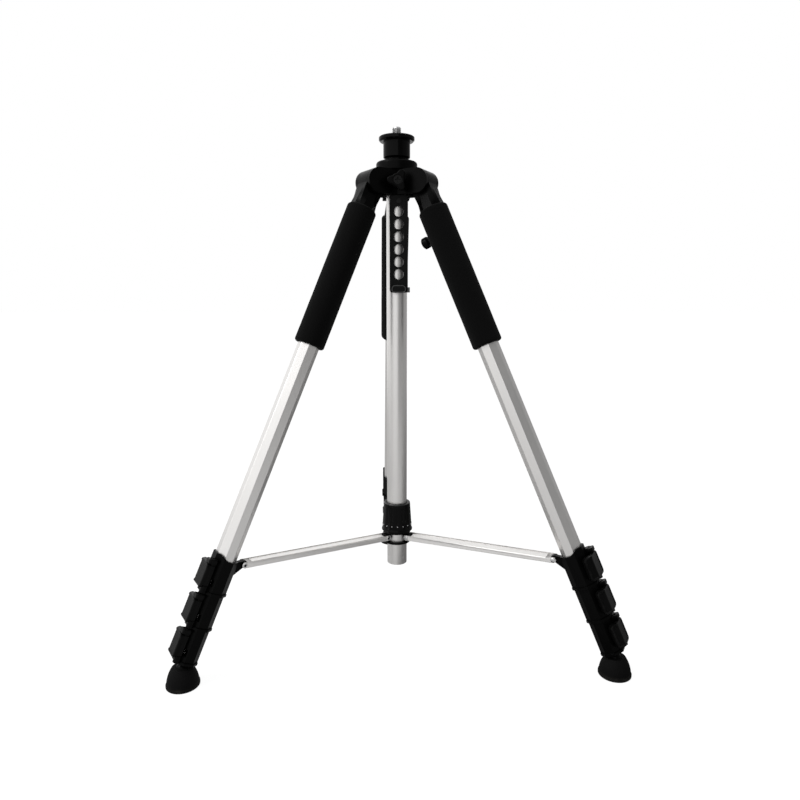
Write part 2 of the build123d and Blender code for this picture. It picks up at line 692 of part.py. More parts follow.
def spreader_slider():
    """A sleeve on the guide tube, with three pivot lugs tied by a lower ring."""
    flange = SLIDER_Z + FLANGE_ABOVE_PIVOT
    ring_top = SLIDER_Z - RING_BELOW_PIVOT
    ring_bottom = ring_top - RING_HEIGHT
    ring_radius = GUIDE_RADIUS + SLIDER_RING
    width = ARM_WIDTH - 2 * ARM_WALL - 2 * SIDE_GAP
    body = ring(SLEEVE_RADIUS, flange, SLEEVE_TOP)
    body += ring(GUIDE_RADIUS + SLIDER_FLANGE, flange, NUT_BOTTOM - SIDE_GAP)
    body += ring(ring_radius, ring_bottom, ring_top)
    for azimuth in LEG_AZIMUTH.values():
        lug = slab((0, -width / 2, ring_bottom), (ring_radius, width / 2, flange + 1))
        lug += cross_bar(SLIDER_LUG_RADIUS, width, ARM_PIVOT_RADIUS, SLIDER_Z)
        lug -= cross_bar(ARM_PIN_RADIUS, 2 * width, ARM_PIVOT_RADIUS, SLIDER_Z)
        body += Rot(0, 0, azimuth) * lug
        low = (0, -COLLET_SLOT / 2, NUT_BOTTOM + NUT_BAND_HEIGHT)
        slot = slab(low, (2 * ring_radius, COLLET_SLOT / 2, NUT_TOP))
        body -= Rot(0, 0, azimuth) * slot
    return body - ring(SLIDER_BORE, ring_bottom - 1, NUT_TOP)


def spreader_nut():
    """A tapered, fluted twist collar with a flared foot."""
    top_radius = SLEEVE_RADIUS + NUT_TOP_WALL
    band_radius = SLEEVE_RADIUS + NUT_BOTTOM_WALL
    flare_radius = SLEEVE_RADIUS + NUT_FLARE_WALL
    nut = turned(
        [
            (0, NUT_BOTTOM),
            (flare_radius, NUT_BOTTOM),
            (flare_radius, NUT_BOTTOM + NUT_FLARE_HEIGHT),
            (band_radius, NUT_BOTTOM + NUT_FLARE_HEIGHT + NUT_FLARE_SLOPE),
            (band_radius, NUT_BOTTOM + NUT_BAND_HEIGHT),
            (top_radius, NUT_TOP - NUT_TOP_EDGE),
            (top_radius - NUT_TOP_EDGE, NUT_TOP),
            (0, NUT_TOP),
        ]
    )
    lean = degrees(asin((band_radius - top_radius) / NUT_HEIGHT))
    flute = Pos(band_radius + FLUTE_OUT, 0, NUT_BOTTOM + FLUTE_START) * Rot(0, -lean, 0)
    flute *= prism(Circle(FLUTE_RADIUS), 0, NUT_HEIGHT - FLUTE_START - FLUTE_STOP)
    nut -= [Rot(0, 0, 360 * i / NUT_FLUTES) * flute for i in range(NUT_FLUTES)]
    nut -= ring(SLEEVE_RADIUS + SIDE_GAP, NUT_BOTTOM - 1, NUT_TOP - NUT_LIP)
    return nut - ring(SLIDER_BORE + SIDE_GAP, NUT_BOTTOM, NUT_TOP + 1)


def spreader_pins():
    pins = []
    for azimuth in LEG_AZIMUTH.values():
        pin = cross_bar(ARM_PIN_RADIUS, ARM_WIDTH + 2 * RUN, ARM_PIVOT_RADIUS, SLIDER_Z)
        for side in (-1, 1):
            middle = side * (ARM_WIDTH / 2 + RUN + PIN_HEAD_HEIGHT / 2)
            pin += Pos(0, middle, 0) * cross_bar(PIN_HEAD_RADIUS, PIN_HEAD_HEIGHT, ARM_PIVOT_RADIUS, SLIDER_Z)
        pins.append(Rot(0, 0, azimuth) * pin)
    return Compound(pins)


def spreader_arm(name):
    """An upside-down channel, cut back to a pair of ears at each end, riveted at the outer one."""
    half = ARM_HEIGHT / 2
    inside = ARM_WIDTH / 2 - ARM_WALL
    past = ARM_LENGTH + ARM_HEIGHT
    walls = side_profile(
        [
            (0, -ARM_INNER_END),
            (ARM_TAPER, -half),
            (ARM_LENGTH - ARM_TAPER, -half),
            (ARM_LENGTH, -ARM_OUTER_END),
            (ARM_LENGTH, ARM_OUTER_END),
            (ARM_LENGTH - ARM_TAPER, half),
            (ARM_TAPER, half),
            (0, ARM_INNER_END),
        ],
        ARM_WIDTH,
    )
    walls += cross_bar(ARM_INNER_END, ARM_WIDTH, 0, 0)
    walls += cross_bar(ARM_OUTER_END, ARM_WIDTH, ARM_LENGTH, 0)
    walls += cross_bar(PIN_HEAD_RADIUS, ARM_WIDTH + 2 * PIN_HEAD_HEIGHT, ARM_LENGTH, 0)
    walls -= slab((-ARM_HEIGHT, -inside, -ARM_HEIGHT), (past, inside, half - ARM_WALL))
    walls -= slab((-ARM_HEIGHT, -inside, 0), (ARM_INNER_EAR, inside, ARM_HEIGHT))
    walls -= slab((ARM_LENGTH - ARM_OUTER_EAR, -inside, 0), (past, inside, ARM_HEIGHT))
    walls -= cross_bar(ARM_PIN_RADIUS + FIT, 2 * ARM_WIDTH, 0, 0)
    place = Rot(0, 0, LEG_AZIMUTH[name]) * Pos(ARM_PIVOT_RADIUS, 0, SLIDER_Z) * Rot(0, -ARM_SLOPE, 0)
    return place * walls


os.makedirs("parts", exist_ok=True)

save(hub_body(), "hub_body")
save(hub_collar(), "hub_collar")
save(hinge_pins(), "hinge_pins")
save(guide_tube(), "guide_tube")
save(column_tube(), "column_tube")
save(head(), "head")
save(mount_stud(), "mount_stud")
save(clamp_knob(), "clamp_knob")
save(knob_screw(), "knob_screw")
save(clamp_shoe(), "clamp_shoe")
save(strap(), "strap")
save(strap_rivet(), "strap_rivet")
save(on_leg("right", leg_button()), "leg_button")
save(spreader_slider(), "spreader_slider")
save(spreader_nut(), "spreader_nut")
save(spreader_pins(), "spreader_pins")

for leg in LEG_AZIMUTH:
    save(spreader_arm(leg), f"{leg}_spreader_arm")
    save(on_leg(leg, leg_fitting()), f"{leg}_leg_fitting")
    save(on_leg(leg, foam_grip(leg)), f"{leg}_foam_grip")
    for section in (1, 2, 3):
        save(on_leg(leg, leg_tube(section)), f"{leg}_tube_{section}")
        save(on_leg(leg, lock_body(section)), f"{leg}_lock_{section}")
        save(on_leg(leg, lock_lever(section)), f"{leg}_lever_{section}")
    save(on_leg(leg, Compound([leg_tube(4), foot_stud()])), f"{leg}_tube_4")
    save(swivel_foot(leg), f"{leg}_foot")
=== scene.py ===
"""A light surveying tripod: satin aluminium tubes, black moulded fittings, foam grips and rubber feet.

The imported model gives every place. Shapes are drawn in millimetres, each in the frame of what carries it.
"""
import json
from math import acos, atan2, cos, exp, pi, radians, sin, tan

import bmesh
import bpy
from mathutils import Matrix, Vector, noise


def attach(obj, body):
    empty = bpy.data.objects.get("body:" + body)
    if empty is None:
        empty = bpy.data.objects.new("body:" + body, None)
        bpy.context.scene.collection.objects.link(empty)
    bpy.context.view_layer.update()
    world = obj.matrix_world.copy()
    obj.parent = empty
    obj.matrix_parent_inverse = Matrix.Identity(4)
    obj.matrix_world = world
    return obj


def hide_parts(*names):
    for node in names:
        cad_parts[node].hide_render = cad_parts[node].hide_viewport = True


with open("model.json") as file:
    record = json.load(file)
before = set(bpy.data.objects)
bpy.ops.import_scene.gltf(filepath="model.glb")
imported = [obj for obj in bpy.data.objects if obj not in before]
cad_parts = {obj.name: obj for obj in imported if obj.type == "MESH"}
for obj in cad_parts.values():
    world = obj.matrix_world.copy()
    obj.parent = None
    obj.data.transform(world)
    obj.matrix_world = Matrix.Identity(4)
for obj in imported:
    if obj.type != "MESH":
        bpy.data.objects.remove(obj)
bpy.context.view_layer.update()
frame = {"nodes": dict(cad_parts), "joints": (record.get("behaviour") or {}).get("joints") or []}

MM = 0.001
LEGS = ("left", "right", "rear")
SECTIONS = (1, 2, 3)
UP = Vector((0, 0, 1))
JOINTS = {joint["name"]: joint for joint in frame["joints"]}

# Studio: the camera stands where the photographer stood
LENS = 28.85
CAMERA_DISTANCE = 0.699
CAMERA_HEIGHT = 0.3653
CAMERA_TURN = -2.19
CAMERA_PITCH = 8.78
CAMERA_AIM = 0.28
SKY_FILL = 0.42
FLOOR_GLOW = 0.93
FLOOR_SHADE = 0.2
FLOOR_SIZE = 40
KEY_PLACE = (-2.2, -0.9, 2.2)
KEY_AIM = (0, 0, 0.25)
KEY_SIZE = 1.4
KEY_POWER = 35

# Cards that only metal and gloss see, each a level and two opposite corners
CARDS = {
    "right": (0.37, (0.9, -1.6, 0.0), (0.9, 1.8, 2.2)),
    "front_right": (0.24, (0.12, -0.8, 0.05), (0.9, -0.8, 2.2)),
    "low_front": (0.63, (-2.0, -1.6, 0.004), (0.9, -0.2, 0.004)),
    "low_back_left": (0.5, (-2.0, -0.2, 0.004), (0.0, 1.6, 0.004)),
    "low_back_right": (0.16, (0.0, -0.2, 0.004), (0.9, 1.6, 0.004)),
}

# Edges: common radii and steps, edges of copied CAD nodes, angles in degrees, limits for merging points
KEEN = 0.2
FINE = 0.3
PLAIN = 0.4
SOFT = 0.5
FULL = 0.6
SLIDER_EDGE = 0.35
LOCK_EDGE = 0.45
KNOB_EDGE = 0.7
FITTING_EDGE = 0.8
HUB_EDGE = 0.9
FLAT_ANGLE = 1
SHARP_ANGLE = 33
CREASE_ANGLE = 38
SAME_POINT = 0.001
SAME_CAD_POINT = 0.02

# Tubes
LEG_TUBE_WALL = 1.0
LEG_TUBE_CORNER = 1.1
LEG_TUBE_LIP = 0.25
TUBE_BELOW_LOCK = 0.8
GUIDE_WALL = 1.0
COLUMN_WALL = 1.2
ROUND_TUBE_ROWS = 24
FIRST_ROW = 1.2
ROW_STEP = 0.7
DENT_ANGLES = (-0.96, -2.57)
DENT_HEIGHT = 9.0
DENT_SIZE = 1.3
DENT_DEPTH = 0.5

# Head, collar, hub and stud
NECK_RADIUS = 12.8
NECK_HEIGHT = 3.4
HEAD_RADIUS = 14.0
HEAD_GROOVE = 0.8
DISC_HEIGHT = 5.0
DISC_CHAMFER = 1.5
COLLAR_SHOULDER = 2.6
COLLAR_MOUTH = 1.6
HUB_BELOW_HINGE = 12.3
THREAD_PITCH = 1.5875
THREAD_DEPTH = 0.85
THREAD_START = 0.01
THREAD_ROWS = 10
STUD_ROOT = 4.0
STUD_CHAMFER = 0.9

# Flip locks, with the cam's turn in degrees towards the tube
EAR_RADIUS = 3.2
UPPER_EAR = 5.6
LOWER_EAR = 6.8
EAR_GAP = 0.35
BOSS_WIDTH = 9.0
LOCK_GAP = 0.3
BOSS_BACK_EDGE = 1.2
BOSS_END_EDGE = 1.8
LEVER_INSET = 2.0
LEVER_DROP = 4.7
LEVER_RISE = 4.6
LEVER_BEND = 3.0
LEVER_PAST = 1.0
LEVER_CORNER = 3.6
LEVER_RIM = ((0.0, -1.0), (0.35, -0.3), (1.0, 0.0), (1.9, 0.0), (2.4, -0.55))
LEVER_WALL = 2.5
LEVER_PANEL = 1.5
LEVER_EDGE = 1.4
LEVER_SKIRT = 3.0
SKIRT_START = 0.3
SKIRT_RUN = 0.4
FIRST_STOP = 4.6
FLAT_STOPS = 6
ARC_STEPS = 5
WEB_INSET = 2.0
LEVER_PIN = 1.6
CAM_RADIUS = 2.2
CAM_HEIGHT = 6.0
CAM_FLAT = 0.05
CAM_TURN = 225

# Spreader arms, with the start of each eye's arc in degrees
ARM_SLOPE = 2.0
ARM_WIDTH = 12.6
ARM_HALF = 2.0
ARM_WALL = 0.8
ARM_BEND = 0.9
ARM_EYE = 2.9
ARM_END = 2.6
ARM_WEB_START = 4.6
ARM_WEB_STOP = 7.5
EYE_ARC = 225
EYE_STEPS = 15
OUTER_EYE_START = 100
INNER_EYE_START = -55

# Rivets: rolled and domed heads, the bushes below and a black disc in a rolled head, which is painted shade
# at the bottom of its hollow
LUG_SEAT = 2.8
SLIDER_SEAT = 3.0
BUSH_RADIUS = 2.9
RIVET_SHANK = 1.5
RIVET_HEAD = 2.5
RIVET_HOLE = 1.3
RIVET_RISE = 0.6
ROLL_BRIM = 0.25
ROLL_ROUND = 0.35
ROLL_FLOOR = 0.05
DOME_TURNS = (0, 0.4, 0.8, 1.2)
BORE_SHADE_DISC = 0.1
BORE_SHADE_PLAY = 0.02

# Strap end
PULL_RISE = 3.8
PULL_HALF = 6.9
LIP_RADIUS = 0.7
LIP_BEND = 3.0
LIP_SIDES = 10
TAB_INSET = 3.2
TAB_WIDTH = 5.4
TAB_DEPTH = 2.4
TAB_HEIGHT = 5.6
TAB_EDGE = 0.8

# Foam grips
FOAM_ROUND = 2.6
FOAM_PLAY = 0.05
FOAM_SWELL = 0.22
FOAM_WAVE = 0.045
FOAM_SEED = 9
FOAM_ROWS = 60
FOAM_CREASE = 60

# Feet and their ball studs
FOOT_STEP = 0.7
FOOT_RIM = 3.0
FOOT_BULGE = 1.2
FOOT_SHOULDER = 9.6
FOOT_SHOULDER_EDGE = 0.9
FOOT_SOCKET = 6.1
FLANK_STEPS = 12
SOCKET_STEPS = 10
TREAD_RINGS = 4
TREAD_START = 0.6
TREAD_WIDTH = 1.6
TREAD_DEPTH = 0.7
BALL_RADIUS = 6.0
BALL_STEPS = 16
BALL_STEM = 2.6
CAP_BRIM = 0.1
PLUG_INSET = 1.2
PLUG_HEIGHT = 18

# Strap button
BUTTON_STEM = 3.0
BUTTON_HEIGHT = 7.0
BUTTON_CROWN = 1.2
BUTTON_TOP_INSET = 1.6
BUTTON_ROUND = 1.0

# Spreader nut: band, top, play and flute wall are counted outwards from the sleeve that it turns on
NUT_SLEEVE_INSET = 4.15
NUT_BAND = 3.35
NUT_TOP = 1.75
NUT_PLAY = 0.35
NUT_FOOT = 1.4
NUT_BAND_LOW = 3.0
NUT_BAND_HIGH = 6.4
NUT_CHAMFER = 1.0
NUT_LID = 3.0
NUT_ROWS = 40
NUT_FLUTES = 16
FLUTE_DEPTH = 0.35
FLUTE_LOW = 9.0
FLUTE_HIGH = 4.0
FLUTE_WALL = 1.0
FLUTE_RUN = 2.0
FLUTE_STEP = 0.1
FLUTE_ROUND = 0.6
NUT_RIM = 0.55
NUT_RIM_INSET = 0.7
NUT_RIM_SIDES = 12
NUT_BEADS = 16
BEAD_RISE = 7.2
BEAD_SINK = 0.1
BEAD_RADIUS = 0.62
BEAD_HEIGHT = 0.5
BEAD_TURNS = (0.2, 0.6, 1.0, 1.3)


# Node trees


def math_node(operation, swapped=False):
    """A method of a wire that adds a math node."""

    def method(self, other=0.0):
        first, second = (other, self) if swapped else (self, other)
        return self.sheet.node("ShaderNodeMath", {0: first, 1: second}, operation=operation)

    return method


class Wire:
    """A node's output that takes part in Python expressions."""

    def __init__(self, sheet, socket):
        self.sheet = sheet
        self.socket = socket

    __add__ = __radd__ = math_node("ADD")
    __sub__ = math_node("SUBTRACT")
    __rsub__ = math_node("SUBTRACT", swapped=True)
    __mul__ = __rmul__ = math_node("MULTIPLY")
    __truediv__ = math_node("DIVIDE")
    most = math_node("MAXIMUM")
    power = math_node("POWER")
    cosine = math_node("COSINE")
    angle = math_node("ARCTAN2")

    def between(self, low, high):
        """0 below the low value, 1 above the high one, and a smooth rise from one to the other."""
        inputs = {"Value": self, 1: low, 2: high}
        return self.sheet.node("ShaderNodeMapRange", inputs, interpolation_type="SMOOTHSTEP")


class NodeSheet:
    """A node tree, with one method that adds any node."""

    def __init__(self, tree):
        self.tree = tree

    def node(self, kind, inputs=None, output=0, **settings):
        made = self.tree.nodes.new(kind)
        for name, value in settings.items():
            setattr(made, name, value)
        for name, value in (inputs or {}).items():
            if isinstance(value, Wire):
                self.tree.links.new(value.socket, made.inputs[name])
            else:
                made.inputs[name].default_value = value
        return Wire(self, made.outputs[output]) if made.outputs else made


class Finish(NodeSheet):
    """A material for a slot. Constants sit on its shader's sockets, wires feed what varies over a surface."""

    def __init__(self, name, slot, **constants):
        self.slot = slot
        self.crease = CREASE_ANGLE
        self.material = bpy.data.materials.new(name)
        self.material.use_nodes = True
        super().__init__(self.material.node_tree)
        self.shader = self.tree.nodes["Principled BSDF"]
        for socket, value in constants.items():
            self.shader.inputs[socket.replace("_", " ").title().replace("Ior", "IOR")].default_value = value
        self.place = self.node("ShaderNodeTexCoord", output="Object")

    def along(self, where, direction):
        """How far a place lies along a direction."""
        inputs = {0: where, 1: tuple(direction)}
        return self.node("ShaderNodeVectorMath", inputs, "Value", operation="DOT_PRODUCT")

    def speckle(self, scale, detail=2.0, where=None):
        inputs = {"Vector": where or self.place, "Scale": scale, "Detail": detail}
        return self.node("ShaderNodeTexNoise", inputs)

    def cells(self, scale):
        return self.node("ShaderNodeTexVoronoi", {"Vector": self.place, "Scale": scale}, "Distance")

    def wear_and_highlight(self):
        """1 on the rounded edges of a moulding, which the finishes paint lighter, partly as wear and partly
        as a painted highlight, 0 elsewhere.
        """
        return self.node("ShaderNodeAttribute", output="Fac", attribute_name="worn_edge")

    def underside(self):
        """1 on faces that look down, which stay matt, 0 elsewhere."""
        normal = self.node("ShaderNodeNewGeometry", output="Normal")
        return self.along(normal, -UP).between(0.7, 0.95)

    def tint(self, share, first, second):
        return self.node("ShaderNodeMix", {0: share, 6: first, 7: second}, 2, data_type="RGBA")

    def relief(self, height, strength, depth):
        return self.node("ShaderNodeBump", {"Height": height, "Strength": strength, "Distance": depth * MM})

    def feed(self, colour, rough, bump, **wires):
        wires.update({"Base Color": colour, "Roughness": rough, "Normal": bump})
        for socket, wire in wires.items():
            self.tree.links.new(wire.socket, self.shader.inputs[socket.replace("_", " ")])
        return self


def grey(level, warmth=0.0):
    """A colour near grey. Warmth lifts red and lowers blue."""
    return (level * (1 + warmth), level, level * (1 - warmth), 1)


# Finishes


def moulded_black(name, level, roughness, shine=0.06):
    """Black moulded plastic with a fine spark grain, faint rub marks and edges painted lighter in patches,
    partly as handled wear and partly as a painted highlight.
    """
    sheet = Finish(name, "black_plastic", specular_ior_level=shine)
    cloud = sheet.speckle(45, 4)
    rub = sheet.speckle(240, 5).between(0.5, 0.72)
    wear_and_highlight = sheet.wear_and_highlight() * sheet.speckle(320, 3).between(0.4, 0.62)
    colour = sheet.tint(cloud, grey(0.7 * level), grey(1.4 * level))
    # Marked edges painted lighter in patches: handled wear and a painted highlight.
    colour = sheet.tint(wear_and_highlight * 0.7, colour, grey(3.2 * level))
    rough = roughness + 0.16 * (cloud - 0.5) - 0.07 * rub - 0.1 * wear_and_highlight + sheet.underside()
    return sheet.feed(colour, rough, sheet.relief(sheet.speckle(2600, 3), 0.22, 0.12))


def painted_black():
    """Black paint on turned metal: faint rings from the lathe under a soft gloss, and edges painted lighter
    in patches, partly as wear and partly as a painted highlight.
    """
    sheet = Finish("painted_black", "black_metal", specular_ior_level=0.06, coat_roughness=0.12)
    inputs = {"W": sheet.along(sheet.place, UP), "Scale": 2400}
    rings = sheet.node("ShaderNodeTexNoise", inputs, noise_dimensions="1D")
    cloud = sheet.speckle(70, 4)
    wear_and_highlight = sheet.wear_and_highlight() * cloud.between(0.45, 0.6)
    colour = sheet.tint(cloud, grey(0.0012), grey(0.003))
    # Marked edges painted lighter: wear and a painted highlight.
    colour = sheet.tint(wear_and_highlight * 0.5, colour, grey(0.06))
    rough = 0.16 + 0.08 * (cloud - 0.5) + 0.05 * (rings - 0.5)
    bump = sheet.relief(rings + 0.4 * sheet.speckle(3000), 0.12, 0.08)
    return sheet.feed(colour, rough, bump, Coat_Weight=0.03 + 0.04 * cloud)


def satin_aluminium(name, direction, level=0.79, roughness=0.3):
    """Silver anodised aluminium, with the fine lines that drawing leaves along the tube."""
    sheet = Finish(name, "aluminium", metallic=1.0)
    side = direction.orthogonal().normalized()
    scales = ((side, 5200), (direction.cross(side), 5200), (direction, 14))
    inputs = {i: sheet.along(sheet.place, axis) * scale for i, (axis, scale) in enumerate(scales)}
    lines = sheet.speckle(1.0, 3, sheet.node("ShaderNodeCombineXYZ", inputs))
    cloud = sheet.speckle(26, 3)
    colour = sheet.tint(0.55 * lines + 0.45 * cloud, grey(0.93 * level, 0.014), grey(1.03 * level, 0.018))
    rough = roughness + 0.14 * lines + 0.08 * (cloud - 0.5)
    return sheet.feed(colour, rough, sheet.relief(lines + 0.5 * sheet.speckle(4200), 0.06, 0.06))


def plated_steel():
    """Bright plated steel with fine tool marks and a few dull spots."""
    sheet = Finish("plated_steel", "steel", metallic=1.0)
    marks = sheet.speckle(2800, 3)
    dull = sheet.speckle(420, 4).between(0.5, 0.75)
    colour = sheet.tint(dull, grey(0.66), grey(0.48, 0.01))
    return sheet.feed(colour, 0.13 + 0.1 * marks + 0.2 * dull, sheet.relief(marks, 0.12, 0.05))


def blackened_steel():
    sheet = Finish("blackened_steel", "steel", metallic=0.4, specular_ior_level=0.2)
    cloud = sheet.speckle(500, 4)
    colour = sheet.tint(cloud, grey(0.005), grey(0.012))
    return sheet.feed(colour, 0.3 + 0.2 * cloud, sheet.relief(cloud, 0.1, 0.05))


def black_rubber(name, roughness=0.62, shine=0.07):
    """Rubber with a trace of dust where it meets the floor."""
    sheet = Finish(name, "rubber", specular_ior_level=shine)
    cloud = sheet.speckle(90, 4)
    low = 1 - sheet.along(sheet.place, UP).between(0.0, 0.006)
    dust = low * cloud.between(0.42, 0.7)
    colour = sheet.tint(cloud, grey(0.004), grey(0.008))
    colour = sheet.tint(0.35 * dust, colour, grey(0.09, 0.08))
    pores = sheet.relief(sheet.speckle(1800, 4), 0.3, 0.15)
    return sheet.feed(colour, roughness + 0.2 * cloud + 0.1 * dust, pores)


def cell_foam():
    """Closed-cell foam: small round pits of two sizes, with no gloss."""
    sheet = Finish("cell_foam", "foam", specular_ior_level=0.06, sheen_weight=0.04, sheen_roughness=0.6)
    sheet.crease = FOAM_CREASE
    cloud = sheet.speckle(60, 4)
    pits = 0.6 * sheet.cells(1500) + 0.4 * sheet.cells(620)
    # Painted shade: the pits are coloured darker than the cell walls between them.
    colour = sheet.tint(pits * 0.6 + cloud * 0.4, grey(0.002), grey(0.005))
    return sheet.feed(colour, 0.86 + 0.12 * cloud, sheet.relief(pits, 0.55, 0.35))


def pale_nylon():
    sheet = Finish("pale_nylon", "nylon", subsurface_weight=0.1)
    cloud = sheet.speckle(300, 3)
    colour = sheet.tint(cloud, grey(0.62, 0.03), grey(0.72, 0.04))
    return sheet.feed(colour, 0.45 + 0.1 * cloud, sheet.relief(cloud, 0.1, 0.05))


PLASTIC = moulded_black("moulded_black", level=0.0016, roughness=0.33)
LEVER_PLASTIC = moulded_black("lever_black", level=0.004, roughness=0.28, shine=0.07)
NUT_PLASTIC = moulded_black("nut_black", level=0.002, roughness=0.2, shine=0.1)
GLOSS_PLASTIC = moulded_black("gloss_black", level=0.004, roughness=0.12, shine=0.8)
PAINT = painted_black()
STEEL = plated_steel()
BLACK_STEEL = blackened_steel()
RUBBER = black_rubber("black_rubber")
STRAP_RUBBER = black_rubber("strap_rubber", roughness=0.3, shine=0.1)
LIP_RUBBER = black_rubber("lip_rubber", roughness=0.1, shine=0.8)
FOAM = cell_foam()
NYLON = pale_nylon()
COLUMN_METAL = satin_aluminium("column_aluminium", UP)


# Places: each turns millimetres in a piece's own frame into the shared frame


COLUMN = Matrix.Scale(MM, 4)


def joint_point(name):
    return Vector(JOINTS[name]["pos_m"])


def leg_place(leg):
    """A leg's own frame: its hinge at 0, X outwards, Y across, Z up the tube."""
    hinge = joint_point(f"{leg}_leg_hinge")
    up = (hinge - joint_point(f"{leg}_foot_tilt")).normalized()
    across = UP.cross(Vector((hinge.x, hinge.y, 0))).normalized()
    turn = Matrix((across.cross(up), across, up)).transposed().to_4x4()
    return Matrix.Translation(hinge) @ turn @ COLUMN


def span(node, place):
    """The lowest and highest corners of a CAD node in a frame."""
    back = place.inverted()
    points = [back @ vertex.co for vertex in frame["nodes"][node].data.vertices]
    return tuple(Vector([limit(p[i] for p in points) for i in range(3)]) for limit in (min, max))


LEG_PLACE = {leg: leg_place(leg) for leg in LEGS}
LEG_UP = {leg: (LEG_PLACE[leg].to_3x3() @ UP).normalized() for leg in LEGS}


# Shapes


def rounded(corners, steps=5):
    """An outline from corners (x, y) or (x, y, radius). A radius turns its corner into an arc."""
    points = []
    for i, corner in enumerate(corners):
        here = Vector(corner[:2])
        if len(corner) < 3:
            points.append(here)
            continue
        back = (Vector(corners[i - 1][:2]) - here).normalized()
        ahead = (Vector(corners[(i + 1) % len(corners)][:2]) - here).normalized()
        half = acos(max(-1.0, min(1.0, back.dot(ahead)))) / 2
        centre = here + (back + ahead).normalized() * corner[2] / sin(half)
        start = here + back * corner[2] / tan(half) - centre
        end = here + ahead * corner[2] / tan(half) - centre
        sweep = atan2(start.cross(end), start.dot(end))
        points += [centre + Matrix.Rotation(turn, 2) @ start for turn in evenly(0, sweep, steps)]
    return points


def evenly(start, end, count):
    """Values from a start to an end, in equal steps."""
    return [start + (end - start) * k / count for k in range(count + 1)]


def circle(count):
    """Angles evenly round a circle."""
    return evenly(0, 2 * pi, count)[:-1]


def arc(turns, across, height, radius):
    """Points at angles about a centre."""
    return [(across + radius * cos(a), height + radius * sin(a)) for a in turns]


def strip(shape, first, second):
    """Faces between two open rows of vertices."""
    for i in range(len(first) - 1):
        shape.faces.new((first[i], first[i + 1], second[i + 1], second[i]))


def stitch(shape, first, second):
    """Faces between two rings of points. A ring of one point is a pole."""
    count = max(len(first), len(second))
    for i in range(count):
        corners = []
        for ring, step in ((first, 0), (first, 1), (second, 1), (second, 0)):
            vertex = ring[(i + step) % len(ring)]
            if vertex not in corners:
                corners.append(vertex)
        if len(corners) > 2:
            shape.faces.new(corners)


def skin(shape, rings, closed=False):
    """Faces from each ring to the next, and from the last to the first if closed."""
    following = rings[1:] + rings[:1] if closed else rings[1:]
    for first, second in zip(rings, following):
        stitch(shape, first, second)


def stack(shape, levels, place, closed=False):
    """Rings of vertices from levels, each (outline, height), with faces between them."""
    rings = []
    for outline, height in levels:
        rings.append([shape.verts.new(place @ Vector((p.x, p.y, height))) for p in outline])
    skin(shape, rings, closed)
    return rings


def lathe(shape, profile, place, segments=96, closed=False, change=None):
    """Revolves (radius, height) points about Z. A change gives a radius for an angle, radius and height."""
    rings = []
    for radius, height in profile:
        turns = circle(segments) if radius > 1e-6 else [0]
        ring = []
        for angle in turns:
            reach = change(angle, radius, height) if change and len(turns) > 1 else radius
            ring.append(shape.verts.new(place @ Vector((reach * cos(angle), reach * sin(angle), height))))
        rings.append(ring)
    skin(shape, rings, closed)


def sleeve(shape, outer, inner, low, high, place, lip):
    """A straight tube between two outlines, with its outer edges eased."""
    small = [p - p.normalized() * lip for p in outer]
    levels = [(inner, low), (small, low), (outer, low + lip)]
    levels += [(outer, high - lip), (small, high), (inner, high)]
    stack(shape, levels, place, closed=True)


def block(shape, outline, low, high, place, ease=FINE):
    """A solid between two heights from a convex outline, with its edges eased."""
    middle = sum(outline, Vector((0, 0))) / len(outline)
    small = [p + (middle - p).normalized() * ease for p in outline]
    levels = [(small, low), (outline, low + ease), (outline, high - ease), (small, high)]
    rings = stack(shape, levels, place)
    shape.faces.new(rings[0])
    shape.faces.new(rings[-1])


def octagon(across, corner):
    """A rounded octagon with a flat facing X."""
    reach = across / 2 / cos(pi / 8)
    angles = [pi / 8 + i * pi / 4 for i in range(8)]
    return rounded([(reach * cos(a), reach * sin(a), corner) for a in angles], steps=4)


def trim(shape, height):
    """Cuts off what lies below a height and closes the cut."""
    parts = shape.verts[:] + shape.edges[:] + shape.faces[:]
    bmesh.ops.bisect_plane(shape, geom=parts, plane_co=UP * height * MM, plane_no=-UP, clear_outer=True)
    bmesh.ops.triangle_fill(shape, edges=[e for e in shape.edges if e.is_boundary], use_beauty=True)


# Pieces


def new_object(name, data):
    made = bpy.data.objects.new(name, data)
    bpy.context.scene.collection.objects.link(made)
    return made


def plain_mesh(name, shape):
    """A mesh from a shape, with its faces turned outwards."""
    bmesh.ops.recalc_face_normals(shape, faces=shape.faces)
    mesh = bpy.data.meshes.new(name)
    shape.to_mesh(mesh)
    shape.free()
    return mesh


def modified_mesh(made):
    """The mesh that an object's modifiers give, which are then removed."""
    evaluated = made.evaluated_get(bpy.context.evaluated_depsgraph_get())
    mesh = bpy.data.meshes.new_from_object(evaluated)
    made.modifiers.clear()
    return mesh


def keep_flats_flat(made):
    """Lets large faces set the normals, so that rounded edges shade alone."""
    weigh = made.modifiers.new("weigh", "WEIGHTED_NORMAL")
    weigh.keep_sharp = True
    weigh.weight = 90
    mesh = modified_mesh(made)
    mesh.name = made.name
    made.data = mesh


def settle(name, mesh, body, finish, nodes=()):
    """Makes a mesh a piece of the object, in one finish and riding on a body."""
    mesh.materials.clear()
    mesh.materials.append(finish.material)
    mesh.shade_smooth()
    mesh.set_sharp_from_angle(angle=radians(finish.crease))
    made = new_object(name, mesh)
    keep_flats_flat(made)
    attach(made, body)
    if nodes:
        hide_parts(*nodes)
    return made


